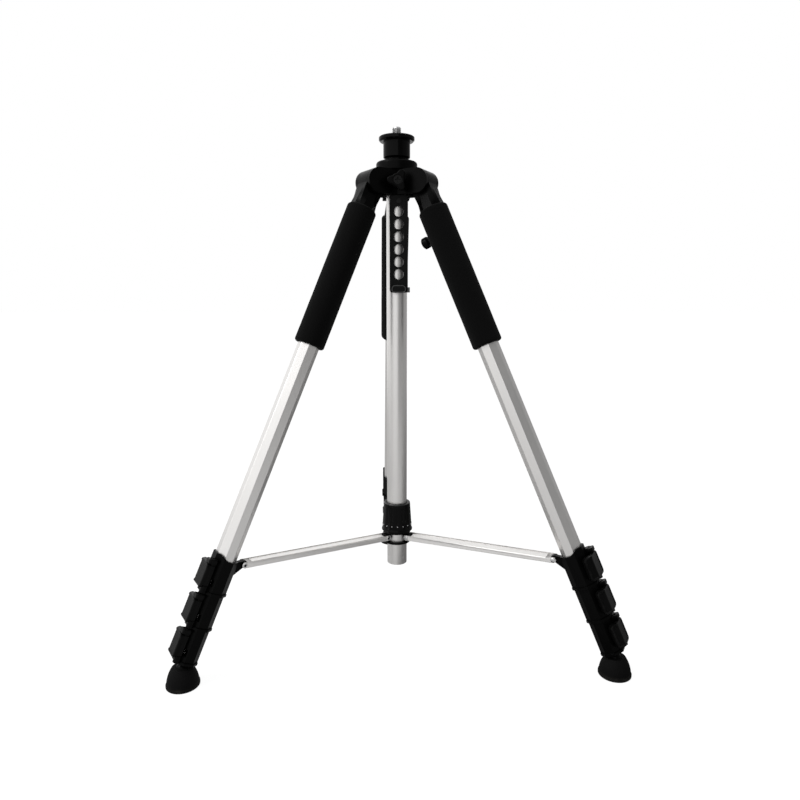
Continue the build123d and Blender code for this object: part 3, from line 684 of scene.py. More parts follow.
def piece(name, shape, body, finish, nodes=()):
    """Makes a shape a piece of the object, free of slivers."""
    bmesh.ops.remove_doubles(shape, verts=shape.verts, dist=SAME_POINT * MM)
    bmesh.ops.dissolve_degenerate(shape, edges=shape.edges, dist=SAME_POINT * MM)
    return settle(name, plain_mesh(name, shape), body, finish, nodes)


def turned(name, corners, place, body, finish, nodes=(), steps=4, **turning):
    """A piece from the lathe, with rounded corners. The lathe takes what else is given."""
    shape = bmesh.new()
    lathe(shape, rounded(corners, steps), place, **turning)
    return piece(name, shape, body, finish, nodes)


def eased(node, name, body, finish, edge, floor=None):
    """A copy of a CAD node, cut off below a floor, whose sharp edges are rounded and marked to be painted
    lighter, as wear and as a painted highlight.
    """
    shape = bmesh.new()
    shape.from_mesh(frame["nodes"][node].data)
    bmesh.ops.remove_doubles(shape, verts=shape.verts, dist=SAME_CAD_POINT * MM)
    if floor:
        trim(shape, floor)
    bmesh.ops.dissolve_limit(shape, angle_limit=radians(FLAT_ANGLE), verts=shape.verts, edges=shape.edges)
    sharp = [e for e in shape.edges if e.is_manifold and e.calc_face_angle(0) > radians(SHARP_ANGLE)]
    # The rounded edges are marked for lighter colour: wear and a painted highlight.
    layer = shape.faces.layers.float.new("worn_edge")
    settings = {"offset": edge * MM, "segments": 2, "profile": 0.6, "affect": "EDGES", "clamp_overlap": True}
    made = bmesh.ops.bevel(shape, geom=sharp, **settings)
    for face in made["faces"]:
        face[layer] = 1.0
    bmesh.ops.triangulate(shape, faces=[f for f in shape.faces if len(f.verts) > 4])
    return piece(name, shape, body, finish, [node])


def refinish(node, finish):
    """Gives a finish to a CAD node that shows as it is."""
    materials = frame["nodes"][node].data.materials
    materials.clear()
    materials.append(finish.material)


# What repeats is grown by geometry nodes


def new_tree(name, **inputs):
    """A geometry tree with named inputs, each with its kind of socket."""
    tree = bpy.data.node_groups.new(name, "GeometryNodeTree")
    tree.interface.new_socket("Geometry", in_out="INPUT", socket_type="NodeSocketGeometry")
    for label, kind in inputs.items():
        tree.interface.new_socket(label, in_out="INPUT", socket_type=f"NodeSocket{kind}")
    tree.interface.new_socket("Geometry", in_out="OUTPUT", socket_type="NodeSocketGeometry")
    return NodeSheet(tree)


def end_tree(sheet, grown):
    """Ends a tree with real geometry in one finish."""
    real = sheet.node("GeometryNodeRealizeInstances", {"Geometry": grown})
    inputs = {"Geometry": real, "Material": taken(sheet, "Finish")}
    sheet.node("NodeGroupOutput", {0: sheet.node("GeometryNodeSetMaterial", inputs)})
    return sheet.tree


def taken(sheet, name):
    """A named input of a tree."""
    return sheet.node("NodeGroupInput", output=name)


def fastener_tree():
    """Sets a fastener on every point, its Z along the point's axis."""
    sheet = new_tree("fasteners", Fastener="Object", Finish="Material")
    fastener = sheet.node("GeometryNodeObjectInfo", {"Object": taken(sheet, "Fastener")}, "Geometry")
    axis = sheet.node("GeometryNodeInputNamedAttribute", {"Name": "axis"}, data_type="FLOAT_VECTOR")
    turn = sheet.node("FunctionNodeAlignRotationToVector", {"Vector": axis}, axis="Z")
    points = sheet.node("GeometryNodeMeshToPoints", {"Mesh": taken(sheet, "Geometry")})
    inputs = {"Points": points, "Instance": fastener, "Rotation": turn}
    return end_tree(sheet, sheet.node("GeometryNodeInstanceOnPoints", inputs))


def flute_tree():
    """Presses upright flutes into a turned sleeve, deepest half-way between their ends."""
    numbers = dict.fromkeys(("Count", "Depth", "Bore", "Low", "High"), "Float")
    sheet = new_tree("flutes", **numbers, Finish="Material")
    count, depth, bore, low, high = (taken(sheet, name) for name in numbers)
    position = sheet.node("GeometryNodeInputPosition")
    x, y, z = (sheet.node("ShaderNodeSeparateXYZ", {0: position}, i) for i in range(3))
    radius = (x * x + y * y).power(0.5)
    groove = (y.angle(x) * count).cosine().most(0.0).power(FLUTE_ROUND)
    run = FLUTE_RUN * MM
    rise = z.between(low, low + run) * (1 - z.between(high - run, high))
    outside = radius.between(bore, bore + FLUTE_STEP * MM)
    press = groove * rise * outside * depth / radius
    offset = sheet.node("ShaderNodeCombineXYZ", {0: x * press * -1, 1: y * press * -1})
    inputs = {"Geometry": taken(sheet, "Geometry"), "Offset": offset}
    return end_tree(sheet, sheet.node("GeometryNodeSetPosition", inputs))


FASTENERS = fastener_tree()
FLUTES = flute_tree()


def grown_mesh(source, tree, values):
    """Runs a tree on a scratch object and returns the plain mesh."""
    scratch = new_object("scratch", source)
    modifier = scratch.modifiers.new("grow", "NODES")
    modifier.node_group = tree
    for item in tree.interface.items_tree:
        if item.in_out == "INPUT" and item.name in values:
            modifier[item.identifier] = values[item.name]
    mesh = modified_mesh(scratch)
    bpy.data.objects.remove(scratch)
    return mesh


def fasten(name, spots, profile, body, finish, nodes=(), segments=32):
    """Turned fasteners at spots, each (point, axis), made from one half profile in millimetres."""
    shape = bmesh.new()
    lathe(shape, profile, COLUMN, segments)
    fastener = new_object("fastener", plain_mesh("fastener", shape))
    points = bpy.data.meshes.new("spots")
    points.from_pydata([point for point, axis in spots], [], [])
    axes = points.attributes.new("axis", "FLOAT_VECTOR", "POINT")
    for i, (point, axis) in enumerate(spots):
        axes.data[i].vector = axis
    mesh = grown_mesh(points, FASTENERS, {"Fastener": fastener, "Finish": finish.material})
    bpy.data.objects.remove(fastener)
    return settle(name, mesh, body, finish, nodes)


def rivet_end(seat, hollow):
    """Half a rivet, from its shank outwards through an arm's cheek, with a rolled or a domed head."""
    cheek = ARM_WIDTH / 2
    points = [(RIVET_SHANK, seat), (RIVET_SHANK, cheek), (RIVET_HEAD, cheek)]
    if hollow:
        top, floor, roll = cheek + RIVET_RISE, cheek + ROLL_FLOOR, RIVET_RISE / 2
        points += [(RIVET_HEAD, cheek + ROLL_BRIM), (RIVET_HEAD - ROLL_ROUND, top), (RIVET_HOLE + roll, top)]
        points += [(RIVET_HOLE, top - roll), (RIVET_HOLE, floor), (0, floor)]
    else:
        brim = cheek + KEEN
        points += [(RIVET_HEAD * cos(a), brim + RIVET_RISE * sin(a)) for a in DOME_TURNS]
        points.append((0, brim + RIVET_RISE))
    return points


def bush_profile(seat):
    """A black bush that fills the room between a lug and an arm's cheek."""
    cheek = ARM_WIDTH / 2 - ARM_WALL
    corners = [(0, seat), (BUSH_RADIUS, seat, FINE), (BUSH_RADIUS, cheek, FINE), (0, cheek)]
    return rounded(corners, steps=3)


def bore_shade_profile():
    """A black disc at the bottom of a rolled rivet's bore: painted shade in the hollow."""
    radius = RIVET_HOLE - BORE_SHADE_PLAY
    high = ARM_WIDTH / 2 + KEEN
    low = high - BORE_SHADE_DISC
    return [(0, low), (radius, low), (radius, high), (0, high)]


# Head and column


def build_head():
    low, high = span("head", COLUMN)
    disc = high.x
    neck = low.z + NECK_HEIGHT
    under = high.z - DISC_HEIGHT
    corners = [
        (0, low.z),
        (NECK_RADIUS, low.z, FINE),
        (NECK_RADIUS, neck - 2 * HEAD_GROOVE, KEEN),
        (NECK_RADIUS - HEAD_GROOVE, neck - HEAD_GROOVE, KEEN),
        (HEAD_RADIUS - HEAD_GROOVE, neck, KEEN),
        (HEAD_RADIUS, neck + HEAD_GROOVE, FINE),
        (HEAD_RADIUS, under, FULL),
        (disc - DISC_CHAMFER, under, FULL),
        (disc, under + DISC_CHAMFER, FULL),
        (disc, high.z - HEAD_GROOVE, PLAIN),
        (disc - HEAD_GROOVE, high.z, FINE),
        (0, high.z),
    ]
    turned("head_turning", corners, COLUMN, "column", PAINT, ["head"], segments=128)


def build_stud():
    """A threaded stud. The thread's ridge climbs one pitch a turn."""
    low, high = span("mount_stud", COLUMN)
    seat = span("head", COLUMN)[1].z
    radius = high.x

    def thread(angle, reach, height):
        phase = (height / THREAD_PITCH - angle / (2 * pi)) % 1
        cut = THREAD_DEPTH * (1 - abs(2 * phase - 1))
        return min(reach, radius - cut) if height > seat else reach

    steps = int((high.z - seat) / THREAD_PITCH * THREAD_ROWS)
    profile = [(0, low.z), (STUD_ROOT, low.z), (STUD_ROOT, seat), (radius, seat + THREAD_START)]
    profile += [(radius, z) for z in evenly(seat, high.z - STUD_CHAMFER, steps)[1:]]
    profile += [(radius - STUD_CHAMFER, high.z), (0, high.z)]
    turned("stud_thread", profile, COLUMN, "column", STEEL, ["mount_stud"], segments=64, change=thread)


def build_collar():
    low, high = span("hub_collar", COLUMN)
    bore = span("column_tube", COLUMN)[1].x + KEEN
    corners = [
        (bore, low.z),
        (high.x, low.z, PLAIN),
        (high.x, high.z, COLLAR_SHOULDER),
        (bore + COLLAR_MOUTH, high.z, SOFT),
        (bore, high.z - COLLAR_MOUTH / 2, FINE),
    ]
    turning = {"steps": 8, "segments": 128, "closed": True}
    turned("collar_moulding", corners, COLUMN, "hub", PLASTIC, ["hub_collar"], **turning)


def build_round_tube(node, name, body, wall, dents=()):
    """A round tube with eased ends. Dents are angles round it."""
    low, high = span(node, COLUMN)
    radius = high.x
    inside, eased_in = radius - wall, radius - PLAIN

    def dented(angle, reach, height):
        for turn in dents:
            aside = radius * ((angle - turn + pi) % (2 * pi) - pi)
            rise = height - low.z - DENT_HEIGHT
            reach -= DENT_DEPTH * exp(-(aside ** 2 + rise ** 2) / DENT_SIZE ** 2)
        return reach

    rows = [low.z + FIRST_ROW + ROW_STEP * k for k in range(ROUND_TUBE_ROWS)]
    profile = [(inside, low.z), (eased_in, low.z), (radius, low.z + PLAIN)]
    profile += [(radius, z) for z in rows]
    profile += [(radius, high.z - PLAIN), (eased_in, high.z), (inside, high.z)]
    profile += [(inside, z) for z in reversed(rows)]
    turned(name, profile, COLUMN, body, COLUMN_METAL, [node], segments=144, closed=True, change=dented)


# Legs


def section_body(leg, number):
    """The body of a tube and of the lock at its lower end."""
    return f"{leg}_leg" if number == 1 else f"{leg}_section_{number}"


def last_tube_end(leg):
    """The last tube shows a little below the last lock."""
    return span(f"{leg}_lock_3", LEG_PLACE[leg])[0].z - TUBE_BELOW_LOCK


def build_leg_tubes(leg):
    place = LEG_PLACE[leg]
    metal = satin_aluminium(f"{leg}_leg_aluminium", LEG_UP[leg])
    for number in (1, 2, 3, 4):
        node = f"{leg}_tube_{number}"
        low, high = span(node, place)
        bottom = last_tube_end(leg) if number == 4 else low.z
        across = 2 * high.y
        outer = octagon(across, LEG_TUBE_CORNER)
        inner = octagon(across - 2 * LEG_TUBE_WALL, FULL)
        shape = bmesh.new()
        sleeve(shape, outer, inner, bottom, high.z, place, LEG_TUBE_LIP)
        piece(f"{leg}_drawn_tube_{number}", shape, section_body(leg, number), metal, [node])


def build_foot(leg):
    """A rubber bell on a ball, with rings cut in its sole."""
    ball = joint_point(f"{leg}_foot_tilt")
    below = Matrix.Translation((ball.x, ball.y, 0)) @ COLUMN
    high = span(f"{leg}_foot", below)[1]
    middle = ball.z / MM
    rim = high.x
    corners = [(0, 0)]
    for k in range(TREAD_RINGS):
        near = rim * (k + TREAD_START) / (TREAD_RINGS + TREAD_START)
        far = near + TREAD_WIDTH
        corners += [(near, 0), (near + PLAIN, TREAD_DEPTH), (far - PLAIN, TREAD_DEPTH), (far, 0)]
    corners += [(rim - FULL, 0, SOFT), (rim, FOOT_STEP, SOFT), (rim, FOOT_RIM, SOFT)]
    flank, start = rim - FOOT_STEP, FOOT_RIM + SOFT
    corners.append((flank, start, FINE))
    for share in evenly(0, 1, FLANK_STEPS)[1:-1]:
        bulge = FOOT_BULGE * 4 * share * (1 - share)
        corners.append((flank + (FOOT_SHOULDER - flank) * share + bulge, start + (high.z - start) * share))
    mouth = (FOOT_SOCKET ** 2 - (high.z - middle) ** 2) ** 0.5
    corners += [(FOOT_SHOULDER, high.z, FOOT_SHOULDER_EDGE), (mouth, high.z)]
    reach = atan2(high.z - middle, mouth)
    corners += arc(evenly(reach, -pi / 2, SOCKET_STEPS)[1:-1], 0, middle, FOOT_SOCKET)
    corners.append((0, middle - FOOT_SOCKET))
    turned(f"{leg}_bell_foot", corners, below, f"{leg}_foot", RUBBER, [f"{leg}_foot"])


def build_ball_stud(leg):
    """The ball that a foot turns on, on a stem below the plug in the last tube."""
    place = LEG_PLACE[leg]
    centre = (place.inverted() @ joint_point(f"{leg}_foot_tilt")).z
    neck = (BALL_RADIUS ** 2 - BALL_STEM ** 2) ** 0.5
    end = last_tube_end(leg)
    wide = span(f"{leg}_tube_4", place)[1].y
    cap, plug, top = end - SOFT, wide - PLUG_INSET, end + PLUG_HEIGHT
    ball = arc(evenly(-pi / 2, pi / 2, BALL_STEPS)[1:-1], 0, centre, BALL_RADIUS)
    profile = [(0, centre - BALL_RADIUS)] + [p for p in ball if p[1] < centre + neck]
    profile += [(BALL_STEM, centre + neck), (BALL_STEM, cap), (wide - SOFT, cap), (wide, end - CAP_BRIM)]
    profile += [(wide, end), (plug, end), (plug, top), (0, top)]
    turned(f"{leg}_ball_stud", profile, place, f"{leg}_section_4", PLASTIC, segments=48)


def build_grip(leg):
    """A foam sleeve, soft at its ends, drawn tight over the octagonal tube."""
    place = LEG_PLACE[leg]
    node = f"{leg}_foam_grip"
    low, high = span(node, place)
    tube = span(f"{leg}_tube_1", place)[1]
    radius, across = high.y, tube.y
    top = tube.z - FOAM_PLAY
    seed = Vector((LEGS.index(leg) * FOAM_SEED, 0, 0))

    def soft(angle, reach, height):
        if reach < across + SOFT:
            turn = (angle + pi / 8) % (pi / 4) - pi / 8
            return across / cos(turn) + FOAM_PLAY
        spot = Vector((cos(angle), sin(angle), 0)) * radius + UP * height
        return reach - FOAM_SWELL * (1 + noise.noise(spot * FOAM_WAVE + seed)) / 2

    rows = evenly(low.z + FOAM_ROUND, top - FOAM_ROUND, FOAM_ROWS)[1:-1]
    corners = [(across, low.z), (radius, low.z, FOAM_ROUND)] + [(radius, z) for z in rows]
    corners += [(radius, top, FOAM_ROUND), (across, top)]
    turning = {"steps": 6, "segments": 120, "closed": True, "change": soft}
    grip = turned(f"{leg}_grip_sleeve", corners, place, f"{leg}_leg", FOAM, [node], **turning)


def half_flat(outer):
    """From the middle of an octagon's flat to where a lever's bend starts."""
    return (outer - LEVER_BEND) * tan(pi / 8)


def lever_face(outer, end, away):
    """The point and the outward direction on a lever's face, at a distance from its hinge end."""
    straight = end + half_flat(outer)
    if away <= straight:
        return Vector((outer, end - away)), Vector((1, 0))
    turn = min((away - straight) / LEVER_BEND, pi / 4)
    out = Vector((cos(turn), -sin(turn)))
    rest = away - straight - LEVER_BEND * turn
    centre = Vector((outer - LEVER_BEND, -half_flat(outer)))
    return centre + LEVER_BEND * out + rest * Vector((-sin(turn), -cos(turn))), out


def lever_plate(shape, outer, end, low, high, place):
    """A finger plate round a corner: a rim and a sunk panel outside, a skirt that deepens to the tip."""
    bend_start = end + half_flat(outer)
    bend_end = bend_start + LEVER_BEND * pi / 4
    length = bend_end + half_flat(outer) + LEVER_PAST
    stops = evenly(FIRST_STOP, bend_start, FLAT_STOPS)[:-1] + evenly(bend_start, bend_end, ARC_STEPS)
    stops.append((bend_end + length - LEVER_CORNER) / 2)
    wear_and_highlight = shape.faces.layers.float.new("worn_edge")

    def ring(inset, depth, skirt=0):
        corner = max(LEVER_CORNER - inset, FULL)
        under, over, tip = low + inset, high - inset, length - inset
        outline = [(stop, under) for stop in stops] + [(tip, under, corner), (tip, over, corner)]
        outline += [(stop, over) for stop in reversed(stops)]
        outline += [(inset, over, corner), (inset, under, corner)]
        points = []
        for away, height in rounded(outline, ARC_STEPS):
            point, out = lever_face(outer, end, away)
            share = min(max(away / length - SKIRT_START, 0) / SKIRT_RUN, 1)
            point = point + out * (depth - skirt * share)
            points.append(shape.verts.new(place @ Vector((point.x, point.y, height))))
        return points

    def panel(points):
        """Closes a ring, whose two ends have two corners each."""
        count = len(stops)
        tip = count + 2 * (ARC_STEPS + 1)
        strip(shape, points[:count], points[tip:tip + count][::-1])
        shape.faces.new(points[count - 1:tip + 1])
        shape.faces.new(points[tip + count - 1:] + points[:1])

    outside = [ring(inset, depth) for inset, depth in LEVER_RIM]
    inside = [ring(inset, -LEVER_WALL, LEVER_SKIRT) for inset in (0, LEVER_EDGE)]
    inside.append(ring(LEVER_EDGE + FINE, -LEVER_PANEL))
    skin(shape, outside)
    # The rim is marked for lighter colour: wear and a painted highlight along the lever's edge.
    for face in shape.faces:
        face[wear_and_highlight] = 1.0
    skin(shape, outside[:1] + inside)
    panel(outside[-1])
    panel(inside[-1])


def build_lock(leg, number):
    """A flip lock and its lever, with a knuckle between the lock's ears, a cam in its window and a pin.

    A boss on the lock carries the upper end of the pin.
    """
    place = LEG_PLACE[leg]
    body = section_body(leg, number)
    lock, lever = f"{leg}_lock_{number}", f"{leg}_lever_{number}"
    low, high = span(lever, place)
    pin = place.inverted() @ joint_point(f"{lever}_flip")
    outer, end = high.x - LEVER_INSET, pin.y + EAR_RADIUS
    lever_top = high.z - LEVER_DROP
    eased(lock, f"{lock}_moulding", body, PLASTIC, LOCK_EDGE)

    shape = bmesh.new()
    lever_plate(shape, outer, end, low.z + LEVER_RISE, lever_top, place)
    bottom, top = low.z + LOWER_EAR + EAR_GAP, high.z - UPPER_EAR - EAR_GAP
    at_pin = place @ Matrix.Translation((pin.x, pin.y, 0))
    knuckle = [(0, bottom), (EAR_RADIUS, bottom, PLAIN), (EAR_RADIUS, top, PLAIN), (0, top)]
    lathe(shape, rounded(knuckle, steps=3), at_pin, segments=32)
    near, far = pin.y - EAR_RADIUS, end - PLAIN
    web = [(pin.x, near), (outer - WEB_INSET, near), (outer - WEB_INSET, far), (pin.x, far)]
    block(shape, rounded(web), bottom, top, place)
    reach = (pin.x + pin.y) / 2 ** 0.5 - span(f"{leg}_tube_{number + 1}", place)[1].y - LOCK_GAP
    bend = CAM_RADIUS - CAM_FLAT
    nose = [(0, -CAM_RADIUS), (reach, -CAM_RADIUS, bend), (reach, CAM_RADIUS, bend), (0, CAM_RADIUS)]
    inward = at_pin @ Matrix.Rotation(radians(CAM_TURN), 4, "Z")
    block(shape, rounded(nose, steps=6), bottom, bottom + CAM_HEIGHT, inward)
    piece(f"{lever}_moulding", shape, lever, LEVER_PLASTIC, [lever])

    half = (high.z - low.z) / 2
    profile = [(0, -half), (LEVER_PIN - FINE, -half), (LEVER_PIN, FINE - half)]
    profile += [(r, -z) for r, z in reversed(profile)]
    spot = place @ Vector((pin.x, pin.y, (low.z + high.z) / 2))
    fasten(f"{lever}_pin", [(spot, LEG_UP[leg])], profile, lever, BLACK_STEEL)

    root, front, back = pin.x - WEB_INSET, outer - LOCK_GAP, end - BOSS_WIDTH
    boss = [(root, back), (front, back, BOSS_BACK_EDGE), (front, end, BOSS_END_EDGE), (root, end)]
    shape = bmesh.new()
    block(shape, rounded(boss), lever_top + LOCK_GAP, high.z - LOCK_GAP, place, SOFT)
    piece(f"{lock}_boss", shape, body, LEVER_PLASTIC)


def build_button():
    place = LEG_PLACE["right"]
    low, high = span("leg_button", place)
    middle = (low + high) / 2
    side = place @ Matrix.Translation((0, 0, middle.z)) @ Matrix.Rotation(-pi / 2, 4, "Y")
    near, far = -high.x, -low.x
    radius = (high.y - low.y) / 2
    under = far - BUTTON_HEIGHT
    corners = [
        (0, near),
        (BUTTON_STEM, near),
        (BUTTON_STEM, under, PLAIN),
        (radius - FULL, under, SOFT),
        (radius, under + BUTTON_ROUND, FULL),
        (radius, far - BUTTON_CROWN, BUTTON_ROUND),
        (radius - BUTTON_TOP_INSET, far, BUTTON_ROUND),
        (0, far - FINE),
    ]
    turned("button_moulding", corners, side, "right_leg", PLASTIC, ["leg_button"], steps=5, segments=48)


# Spreader


def build_nut():
    """A tapered collar with flutes, a flared foot and a row of small beads above it, made of bright steel as
    painted glints.
    """
    low, high = span("spreader_nut", COLUMN)
    flare = high.x
    inner = flare - NUT_SLEEVE_INSET
    bore, mouth = inner + NUT_PLAY, span("guide_tube", COLUMN)[1].x + FULL
    band, top = inner + NUT_BAND, inner + NUT_TOP
    band_top, shoulder, lid = low.z + NUT_BAND_HIGH, high.z - NUT_CHAMFER, high.z - NUT_LID
    corners = [(bore, low.z), (flare, low.z, FINE), (flare, low.z + NUT_FOOT, PLAIN)]
    corners += [(band, low.z + NUT_BAND_LOW, SOFT), (band, band_top)]
    corners += list(zip(evenly(band, top, NUT_ROWS), evenly(band_top, shoulder, NUT_ROWS)))[1:-1]
    corners += [(top, shoulder, SOFT), (top - NUT_CHAMFER, high.z, FINE)]
    corners += [(mouth, high.z), (mouth, lid), (bore, lid)]
    shape = bmesh.new()
    lathe(shape, rounded(corners, steps=4), COLUMN, segments=256, closed=True)
    lengths = {"Depth": FLUTE_DEPTH, "Bore": inner + FLUTE_WALL}
    lengths.update({"Low": low.z + FLUTE_LOW, "High": high.z - FLUTE_HIGH})
    values = {name: length * MM for name, length in lengths.items()}
    values.update({"Count": float(NUT_FLUTES), "Finish": NUT_PLASTIC.material})
    fluted = grown_mesh(plain_mesh("nut_blank", shape), FLUTES, values)
    settle("nut_moulding", fluted, "nut", NUT_PLASTIC, ["spreader_nut"])

    ring = arc(circle(NUT_RIM_SIDES), top - NUT_RIM_INSET, high.z - NUT_RIM_INSET, NUT_RIM)
    turned("nut_rim", ring, COLUMN, "nut", GLOSS_PLASTIC, segments=128, closed=True)

    spots = []
    for angle in circle(NUT_BEADS):
        out = Vector((cos(angle), sin(angle), 0))
        spots.append(((out * (band - BEAD_SINK) + UP * (low.z + BEAD_RISE)) * MM, out))
    bead = [(0, -KEEN), (BEAD_RADIUS, -KEEN)]
    bead += [(BEAD_RADIUS * cos(a), BEAD_HEIGHT * sin(a)) for a in BEAD_TURNS]
    bead.append((0, BEAD_HEIGHT))
    # The beads are bright plated steel so that they show as white points: painted glints on the black nut.
    fasten("nut_beads", spots, bead, "nut", STEEL, segments=12)


def arm_place(leg):
    """A spreader arm's own frame: its inner pivot at 0, X along the arm, Y across."""
    pivot = joint_point(f"{leg}_arm_hinge")
    out = Vector((pivot.x, pivot.y, 0)).normalized()
    turn = Matrix((out, UP.cross(out), UP)).transposed().to_4x4()
    slope = Matrix.Rotation(-radians(ARM_SLOPE), 4, "Y")
    return Matrix.Translation(pivot) @ turn @ slope @ COLUMN


def arm_section(depth):
    """A line across an arm's bent sheet at a depth, from one cheek over the web to the other."""
    radius = ARM_BEND - depth
    middle = ARM_WIDTH / 2 - ARM_BEND
    right = arc(evenly(0, pi / 2, ARC_STEPS), middle, ARM_HALF - ARM_BEND, radius)
    return [(-y, z) for y, z in right] + right[::-1]


def arm_eye(centre, start):
    """The end of an arm's cheek: an arc about a pivot, clockwise from a start."""
    turns = evenly(radians(start), radians(start - EYE_ARC), EYE_STEPS)
    return arc(turns, centre, 0, ARM_EYE)


def build_arm(leg):
    """A channel bent from sheet. Each cheek ends in an eye, and half a rivet sits on each outer eye."""
    place = arm_place(leg)
    node, body = f"{leg}_spreader_arm", f"{leg}_arm"
    length = span(node, place)[1].x - ARM_END
    near, far = ARM_WEB_START, length - ARM_WEB_STOP
    outline = arm_eye(length, OUTER_EYE_START) + arm_eye(0, INNER_EYE_START)
    shape = bmesh.new()
    sheets = []
    for depth in (0, ARM_WALL):
        section = arm_section(depth)
        ends = [[shape.verts.new(place @ Vector((x, y, z))) for y, z in section] for x in (near, far)]
        strip(shape, *ends)
        cheeks = []
        for side in (0, -1):
            across = section[side][0]
            cheek = [shape.verts.new(place @ Vector((x, across, z))) for x, z in outline]
            cheeks.append([ends[1][side]] + cheek + [ends[0][side]])
            shape.faces.new(cheeks[-1])
        sheets.append((ends, cheeks))
    for first, second in zip(*sheets):
        for outer, inner in zip(first, second):
            strip(shape, outer, inner)
    bmesh.ops.triangulate(shape, faces=[f for f in shape.faces if len(f.verts) > 4])
    along, across = (place.to_3x3().col[i].normalized() for i in (0, 1))
    metal = satin_aluminium(f"{leg}_arm_aluminium", along, level=0.93, roughness=0.44)
    piece(f"{leg}_arm_channel", shape, body, metal, [node])

    pivot = place @ Vector((length, 0, 0))
    for name, axis, hollow in (("rolled", across, True), ("domed", -across, False)):
        profile = [(0, LUG_SEAT)] + rivet_end(LUG_SEAT, hollow)
        fasten(f"{leg}_arm_{name}_rivet", [(pivot, axis)], profile, body, STEEL)
    ends = [(pivot, across), (pivot, -across)]
    fasten(f"{leg}_arm_bushes", ends, bush_profile(LUG_SEAT), body, PLASTIC)
    # A black disc in the rolled rivet's bore: painted shade.
    fasten(f"{leg}_arm_bore", ends[:1], bore_shade_profile(), body, PLASTIC)


def build_spreader():
    hinges = [f"{leg}_arm_hinge" for leg in LEGS]
    spots = [(joint_point(hinge), Vector(JOINTS[hinge]["axis"])) for hinge in hinges]
    eased("spreader_slider", "slider_moulding", "slider", PLASTIC, SLIDER_EDGE)
    rivet = [(r, -z) for r, z in reversed(rivet_end(SLIDER_SEAT, False))] + rivet_end(SLIDER_SEAT, True)
    fasten("spreader_rivets", spots, rivet, "slider", STEEL, ["spreader_pins"])
    ends = spots + [(point, -axis) for point, axis in spots]
    fasten("spreader_bushes", ends, bush_profile(SLIDER_SEAT), "slider", PLASTIC)
    # Black discs in the rolled rivets' bores: painted shade.
    fasten("spreader_bores", spots, bore_shade_profile(), "slider", PLASTIC)
    for leg in LEGS:
        build_arm(leg)


# Hub, clamp and strap


def build_hub():
    underside = joint_point("left_leg_hinge").z / MM - HUB_BELOW_HINGE
    eased("hub_body", "hub_moulding", "hub", PLASTIC, HUB_EDGE, underside)
    for leg in LEGS:
        name = f"{leg}_fitting_moulding"
        eased(f"{leg}_leg_fitting", name, f"{leg}_leg", PLASTIC, FITTING_EDGE)
    refinish("hinge_pins", PLASTIC)


def build_clamp():
    eased("clamp_knob", "knob_moulding", "knob", PLASTIC, KNOB_EDGE)
    eased("knob_screw", "knob_screw_head", "knob", BLACK_STEEL, KEEN)
    refinish("clamp_shoe", NYLON)


def build_strap():
    """A rubber strap. Its end curls into an oval lip, with a small tab beside it."""
    eased("strap", "strap_band", "strap", STRAP_RUBBER, SOFT)
    low, high = span("strap", COLUMN)
    middle = Vector(((low.x + high.x) / 2, low.y, low.z + PULL_RISE))
    rise = PULL_RISE - PLAIN
    corners = ((PULL_HALF, rise), (-PULL_HALF, rise), (-PULL_HALF, -rise), (PULL_HALF, -rise))
    oval = rounded([(x, z, LIP_BEND) for x, z in corners], steps=8)
    route = [middle + Vector((p.x, 0, p.y)) for p in oval]
    shape = bmesh.new()
    rings = []
    for i, point in enumerate(route):
        ahead = (route[(i + 1) % len(route)] - route[i - 1]).normalized()
        side = ahead.cross(Vector((0, 1, 0)))
        turns = circle(LIP_SIDES)
        ring = [point + LIP_RADIUS * (side * cos(a) + Vector((0, sin(a), 0))) for a in turns]
        rings.append([shape.verts.new(COLUMN @ spot) for spot in ring])
    skin(shape, rings, closed=True)
    upright = COLUMN @ Matrix.Translation((high.x - TAB_INSET, low.y + TAB_DEPTH, low.z))
    tab = [(0, 0, TAB_EDGE), (TAB_WIDTH, 0, TAB_EDGE)]
    tab += [(TAB_WIDTH, TAB_DEPTH, FULL), (0, TAB_DEPTH, FULL)]
    block(shape, rounded(tab, steps=3), KEEN, TAB_HEIGHT, upright)
    piece("strap_lip", shape, "strap", LIP_RUBBER)
    eased("strap_rivet", "strap_rivet_head", "strap", BLACK_STEEL, PLAIN)


# Studio


def build_studio():
    scene = bpy.context.scene
    scene.view_settings.view_transform = "Standard"

    turn = radians(CAMERA_TURN)
    lens = bpy.data.cameras.new("camera")
    lens.lens = LENS
    camera = new_object("camera", lens)
    camera.location = (CAMERA_DISTANCE * sin(turn), -CAMERA_DISTANCE * cos(turn), CAMERA_HEIGHT)
    camera.rotation_euler = (pi / 2 - radians(CAMERA_PITCH), 0, turn - radians(CAMERA_AIM))
    scene.camera = camera

    world = bpy.data.worlds.new("studio")
    world.use_nodes = True
    scene.world = world
    strength = SKY_FILL + (1 - SKY_FILL) * seen(NodeSheet(world.node_tree))
    sky = world.node_tree.nodes["Background"]
    world.node_tree.links.new(strength.socket, sky.inputs["Strength"])
    sky.inputs["Color"].default_value = grey(1)

    lamp = bpy.data.lights.new("key", "AREA")
    lamp.shape = "DISK"
    lamp.size = KEY_SIZE
    lamp.energy = KEY_POWER
    key = new_object("key", lamp)
    key.location = KEY_PLACE
    key.rotation_euler = (Vector(KEY_PLACE) - Vector(KEY_AIM)).to_track_quat("Z", "Y").to_euler()
    build_floor()
    for name, (level, start, end) in CARDS.items():
        build_card(f"{name}_card", level, Vector(start), Vector(end))


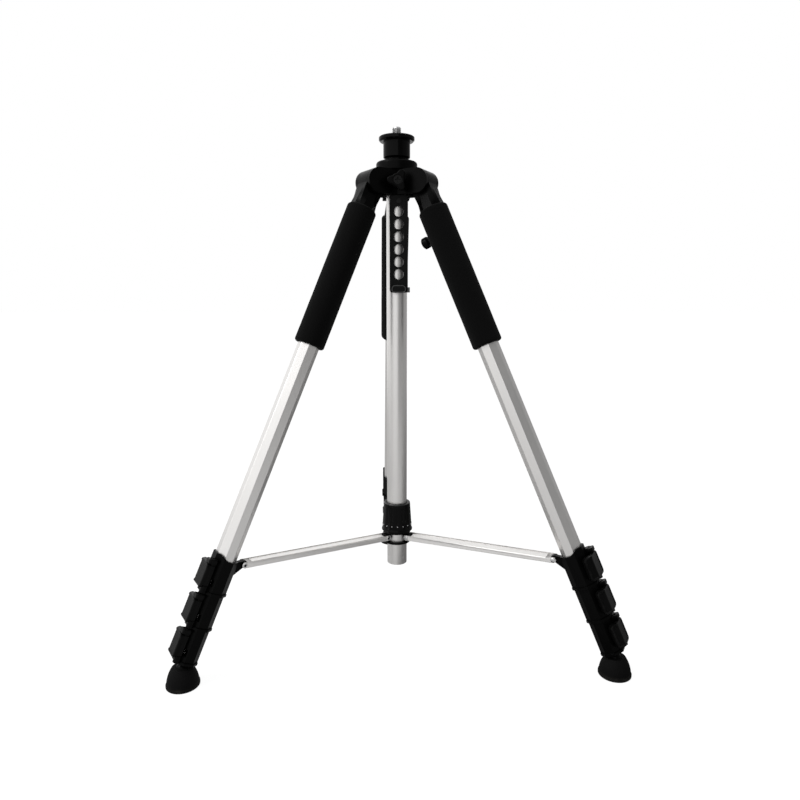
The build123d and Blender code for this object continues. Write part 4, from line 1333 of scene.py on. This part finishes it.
def seen(sheet):
    """1 for rays that show the background: straight, mirrored or through glass."""
    rays = ("Is Camera Ray", "Is Glossy Ray", "Is Transmission Ray")
    straight, mirrored, through = (sheet.node("ShaderNodeLightPath", output=ray) for ray in rays)
    return straight.most(mirrored).most(through)


def studio_flat(name, start, end):
    """A flat rectangle between two opposite corners, and the empty sheet of its material."""
    side = start.copy()
    flat = 1 if start.x != end.x and start.y != end.y else 2
    side[flat] = end[flat]
    material = bpy.data.materials.new(name)
    material.use_nodes = True
    material.node_tree.nodes.clear()
    mesh = bpy.data.meshes.new(name)
    mesh.from_pydata([start, side, end, start + end - side], [], [(0, 1, 2, 3)])
    mesh.materials.append(material)
    return new_object(name, mesh), NodeSheet(material.node_tree)


def build_floor():
    """A white floor, bright to the eye, that keeps a soft shadow."""
    half = FLOOR_SIZE / 2
    floor, sheet = studio_flat("floor", Vector((half, -half, 0)), Vector((-half, half, 0)))
    matt = sheet.node("ShaderNodeBsdfDiffuse", {"Color": grey(FLOOR_SHADE)})
    glow = sheet.node("ShaderNodeEmission", {"Color": grey(1), "Strength": seen(sheet) * FLOOR_GLOW})
    both = sheet.node("ShaderNodeAddShader", {0: matt, 1: glow})
    sheet.node("ShaderNodeOutputMaterial", {"Surface": both})


def build_card(name, level, start, end):
    """A flat studio card that shapes reflections, and hides from the camera."""
    card, sheet = studio_flat(name, start, end)
    glow = sheet.node("ShaderNodeEmission", {"Color": grey(level), "Strength": 1.0})
    sheet.node("ShaderNodeOutputMaterial", {"Surface": glow})
    for ray in ("camera", "diffuse", "shadow", "transmission"):
        setattr(card, f"visible_{ray}", False)


build_head()
build_stud()
build_collar()
build_round_tube("guide_tube", "guide_sleeve", "hub", GUIDE_WALL, DENT_ANGLES)
build_round_tube("column_tube", "column_shaft", "column", COLUMN_WALL)
build_hub()
build_clamp()
build_strap()
build_button()
build_nut()
build_spreader()
for leg in LEGS:
    build_leg_tubes(leg)
    build_grip(leg)
    for number in SECTIONS:
        build_lock(leg, number)
    build_foot(leg)
    build_ball_stud(leg)
build_studio()
